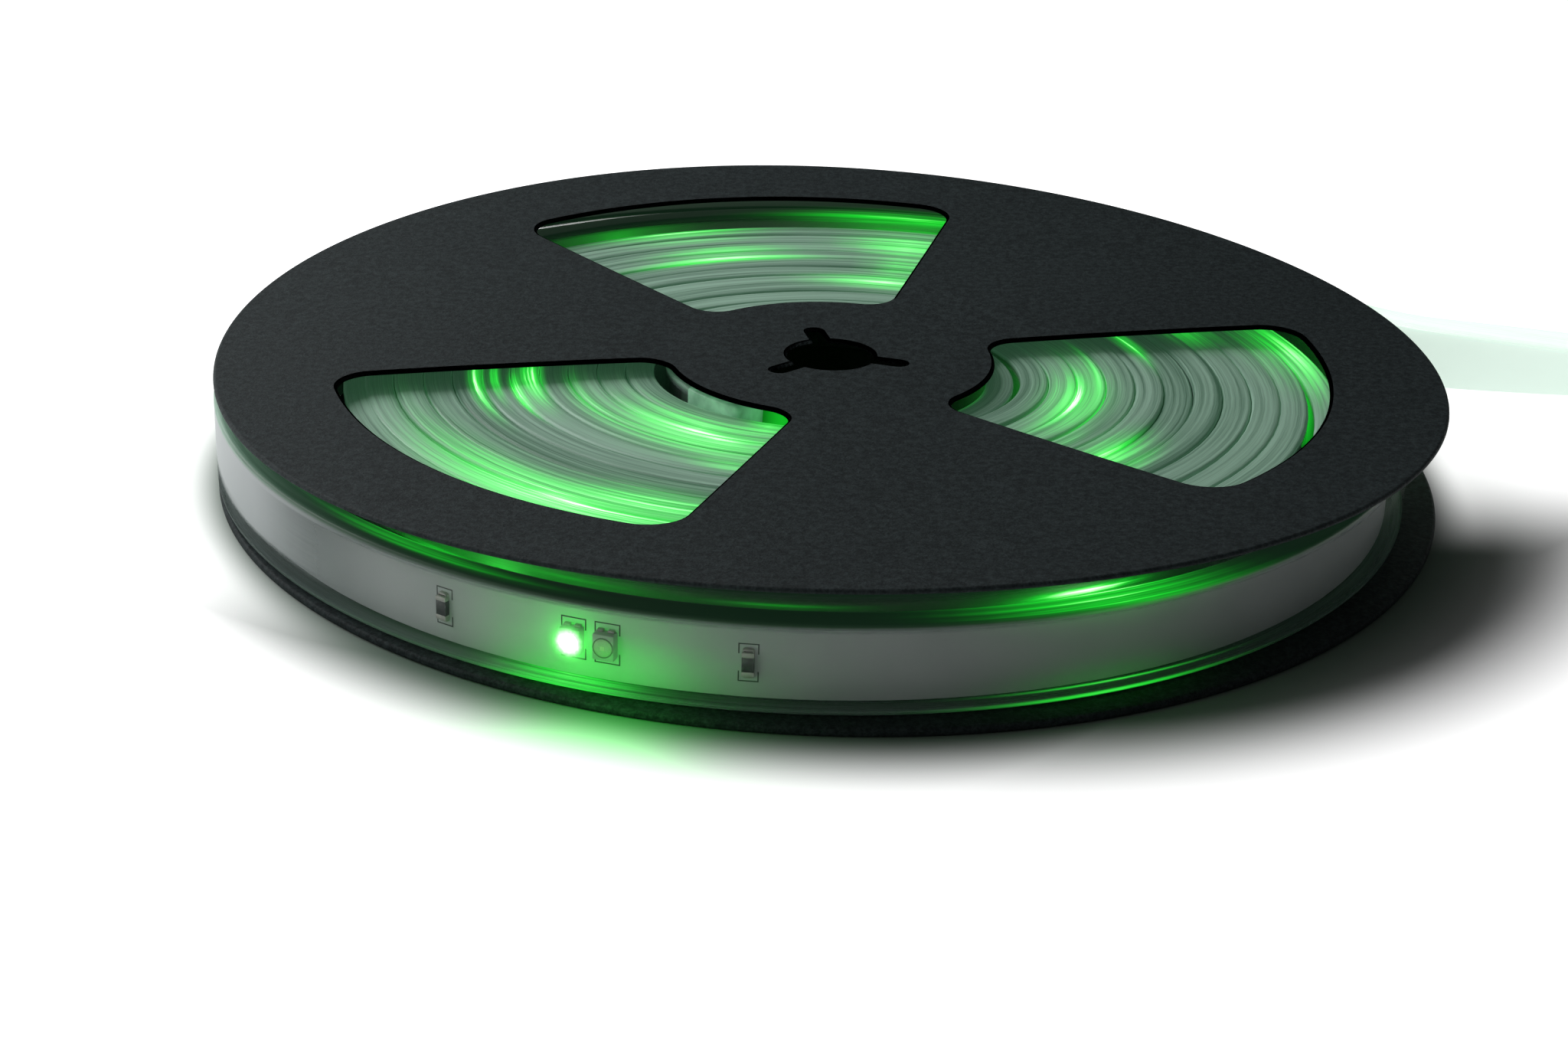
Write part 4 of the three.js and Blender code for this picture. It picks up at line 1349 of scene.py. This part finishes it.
def silk_piece():
    """Printed corner brackets round each component that isn't under another turn."""
    points, faces = [], []
    for kind, offset in OFFSETS.items():
        width, height = BRACKET_SIZES[kind.split("_")[0]]
        half_width, half_height = width / 2, height / 2
        leg = half_height * SILK_LEG_SHARE
        for middle in clusters[clusters < open_length]:
            for side in (-1, 1):
                low, high = sorted((side * half_height, side * (half_height - SILK_LINE)))
                foot, head = sorted((side * half_height, side * (half_height - leg)))
                bars = [
                    ((-half_width, low), (half_width, high)),
                    ((-half_width, foot), (-half_width + SILK_LINE, head)),
                    ((half_width - SILK_LINE, foot), (half_width, head))]
                for (x0, y0), (x1, y1) in bars:
                    flat = [(x0, y0), (x1, y0), (x1, y1), (x0, y1)]
                    local = [(x, y - DROPS[kind], SILK_STAND) for x, y in flat]
                    start = len(points)
                    points += in_frame(local, float(middle + offset)).tolist()
                    faces.append((start, start + 1, start + 2, start + 3))
    make_piece("ribbon_print", points, faces, [SILK], [])


silk_piece()


def cap_piece(name, node, from_start):
    """A moulded cup over an end of the sleeve, with round edges and a domed end."""
    distance = strip.length if from_start else strip.length[-1] - strip.length
    places = np.nonzero(distance <= CAP_LENGTH + 1e-6)[0]
    if from_start:
        places = places[::-1]
    low = (-SLEEVE_THICKNESS - FACE_COVER, -EDGE_COVER)
    high = (FACE_COVER, SLEEVE_HEIGHT + EDGE_COVER)
    section = np.array(spread_section(low, high, CAP_ROUND, (3, 2, 3, 2)))
    foot, out, up = strip.foot[places], strip.out[places], strip.up[places]

    def ring(base, i, outline):
        return base + np.outer(outline[:, 0], out[i]) + np.outer(outline[:, 1], up[i])

    inward = (np.array(low) + high) / 2 - section
    inward /= np.linalg.norm(inward, axis=1)[:, None]
    # The cup's mouth: a rim that turns in to the sleeve
    rings = [ring(foot[0], 0, section + inward * CAP_FACE_WALL * 0.9)]
    rings += [ring(foot[i], i, section) for i in range(len(places))]
    way = foot[-1] - foot[-2]
    way /= np.linalg.norm(way)
    for share in (0.7, 0.9, 1.0):
        shrink = CAP_ROUND * 2 * (share - 0.7) / 0.3
        end = foot[-1] + way * (SEAT_GAP + CAP_END_WALL) * share
        rings.append(ring(end, -1, section + inward * shrink))
    faces = strip_faces(len(rings), len(section)) + end_faces(len(rings), len(section))
    make_piece(name, np.concatenate(rings), faces, [CAP_SILICONE], [node])


cap_piece("cap_tail", "tail_end_cap", from_start=True)
cap_piece("cap_inner", "inner_end_cap", from_start=False)


def floor_piece():
    """A pale floor with painted shade, darker next to the rim, that runs out into the white background a
    little way off the reel.
    """
    mesh = bpy.data.meshes.new("floor")
    ends = (-FLOOR_HALF_SIZE, FLOOR_HALF_SIZE)
    corners = [(x, y, 0) for y in ends for x in ends]
    mesh.from_pydata(corners, [], [(0, 1, 3, 2)])
    look = Look("floor", roughness=0.9)
    look.set("Specular IOR Level", 0.1)
    look.set("Emission Color", WHITE)

    def distance_from(centre):
        inputs = {0: look.point(), 1: tuple(centre * MM)}
        away = look.add("VectorMath", inputs, operation="SUBTRACT").outputs[0]
        return look.add("VectorMath", {0: away}, operation="LENGTH").outputs["Value"]

    def fade(value, limits):
        return look.ramp(value, limits[0] * MM, limits[1] * MM)

    from_axis = distance_from(REEL_AXIS)
    past_rim = fade(from_axis, FLOOR_FADE)
    past_shade = fade(distance_from(REEL_AXIS + FLOOR_SHADE_CENTRE), FLOOR_SHADE_FADE)
    # Painted shade: the floor's colour is dark next to the rim and pale past it
    look.set("Base Color", look.mix(past_rim, *FLOOR_PAINTED_SHADE_COLOURS))
    x, y = look.add("SeparateXYZ", {0: look.point()}).outputs[:2]
    leftwards = look.scaled(x, -FLOOR_LEFT_SLOPE, y)
    aside = look.largest(fade(y, FLOOR_BACK_FADE), fade(leftwards, FLOOR_LEFT_FADE))
    aside = look.product(aside, fade(from_axis, FLOOR_RIM_FADE))
    shine = look.largest(look.math("MINIMUM", past_rim, past_shade), aside)
    seen = look.seen("Camera", "Glossy", "Transmission")
    look.set("Emission Strength", look.product(seen, shine))
    mesh.materials.append(look.material)
    floor = bpy.data.objects.new("floor", mesh)
    bpy.context.collection.objects.link(floor)


def make_world():
    """White to look at, and a faint even light on the object."""
    world = bpy.data.worlds.new("studio")
    bpy.context.scene.world = world
    world.use_nodes = True
    nodes = Nodes(world.node_tree)
    seen = nodes.seen("Camera", "Transmission")
    background = nodes.tree.nodes["Background"]
    feed(nodes.tree, background.inputs["Color"], WHITE)
    feed(nodes.tree, background.inputs["Strength"], nodes.scaled(seen, 1 - WORLD_LIGHT, WORLD_LIGHT))


def area_light(name, place, aim, size, power, tint=WHITE):
    data = bpy.data.lights.new(name, "AREA")
    data.shape = "DISK"
    data.size = size
    data.energy = power
    data.color = tint
    light = bpy.data.objects.new(name, data)
    light.location = Vector((REEL_AXIS + np.array(place)) * MM)
    target = Vector((REEL_AXIS + np.array(aim)) * MM)
    light.rotation_euler = (target - light.location).to_track_quat("-Z", "Y").to_euler()
    bpy.context.collection.objects.link(light)


floor_piece()
make_world()
area_light("key", (-330, 200, 330), (0, 0, 0), size=0.6, power=2.2)
area_light("fill", (-600, -350, 255), (0, 0, 0), size=0.8, power=0.78)
# The lit diode's green light on the floor, from a small light that looks straight down
spill_place = polar(SPILL_RADIUS, SPILL_AZIMUTH)
area_light("diode_spill", (*spill_place, SPILL_HEIGHT), (*spill_place, 0),
           size=0.016, power=0.0024, tint=SPILL_TINT)

scene = bpy.context.scene
scene.view_settings.view_transform = "Standard"
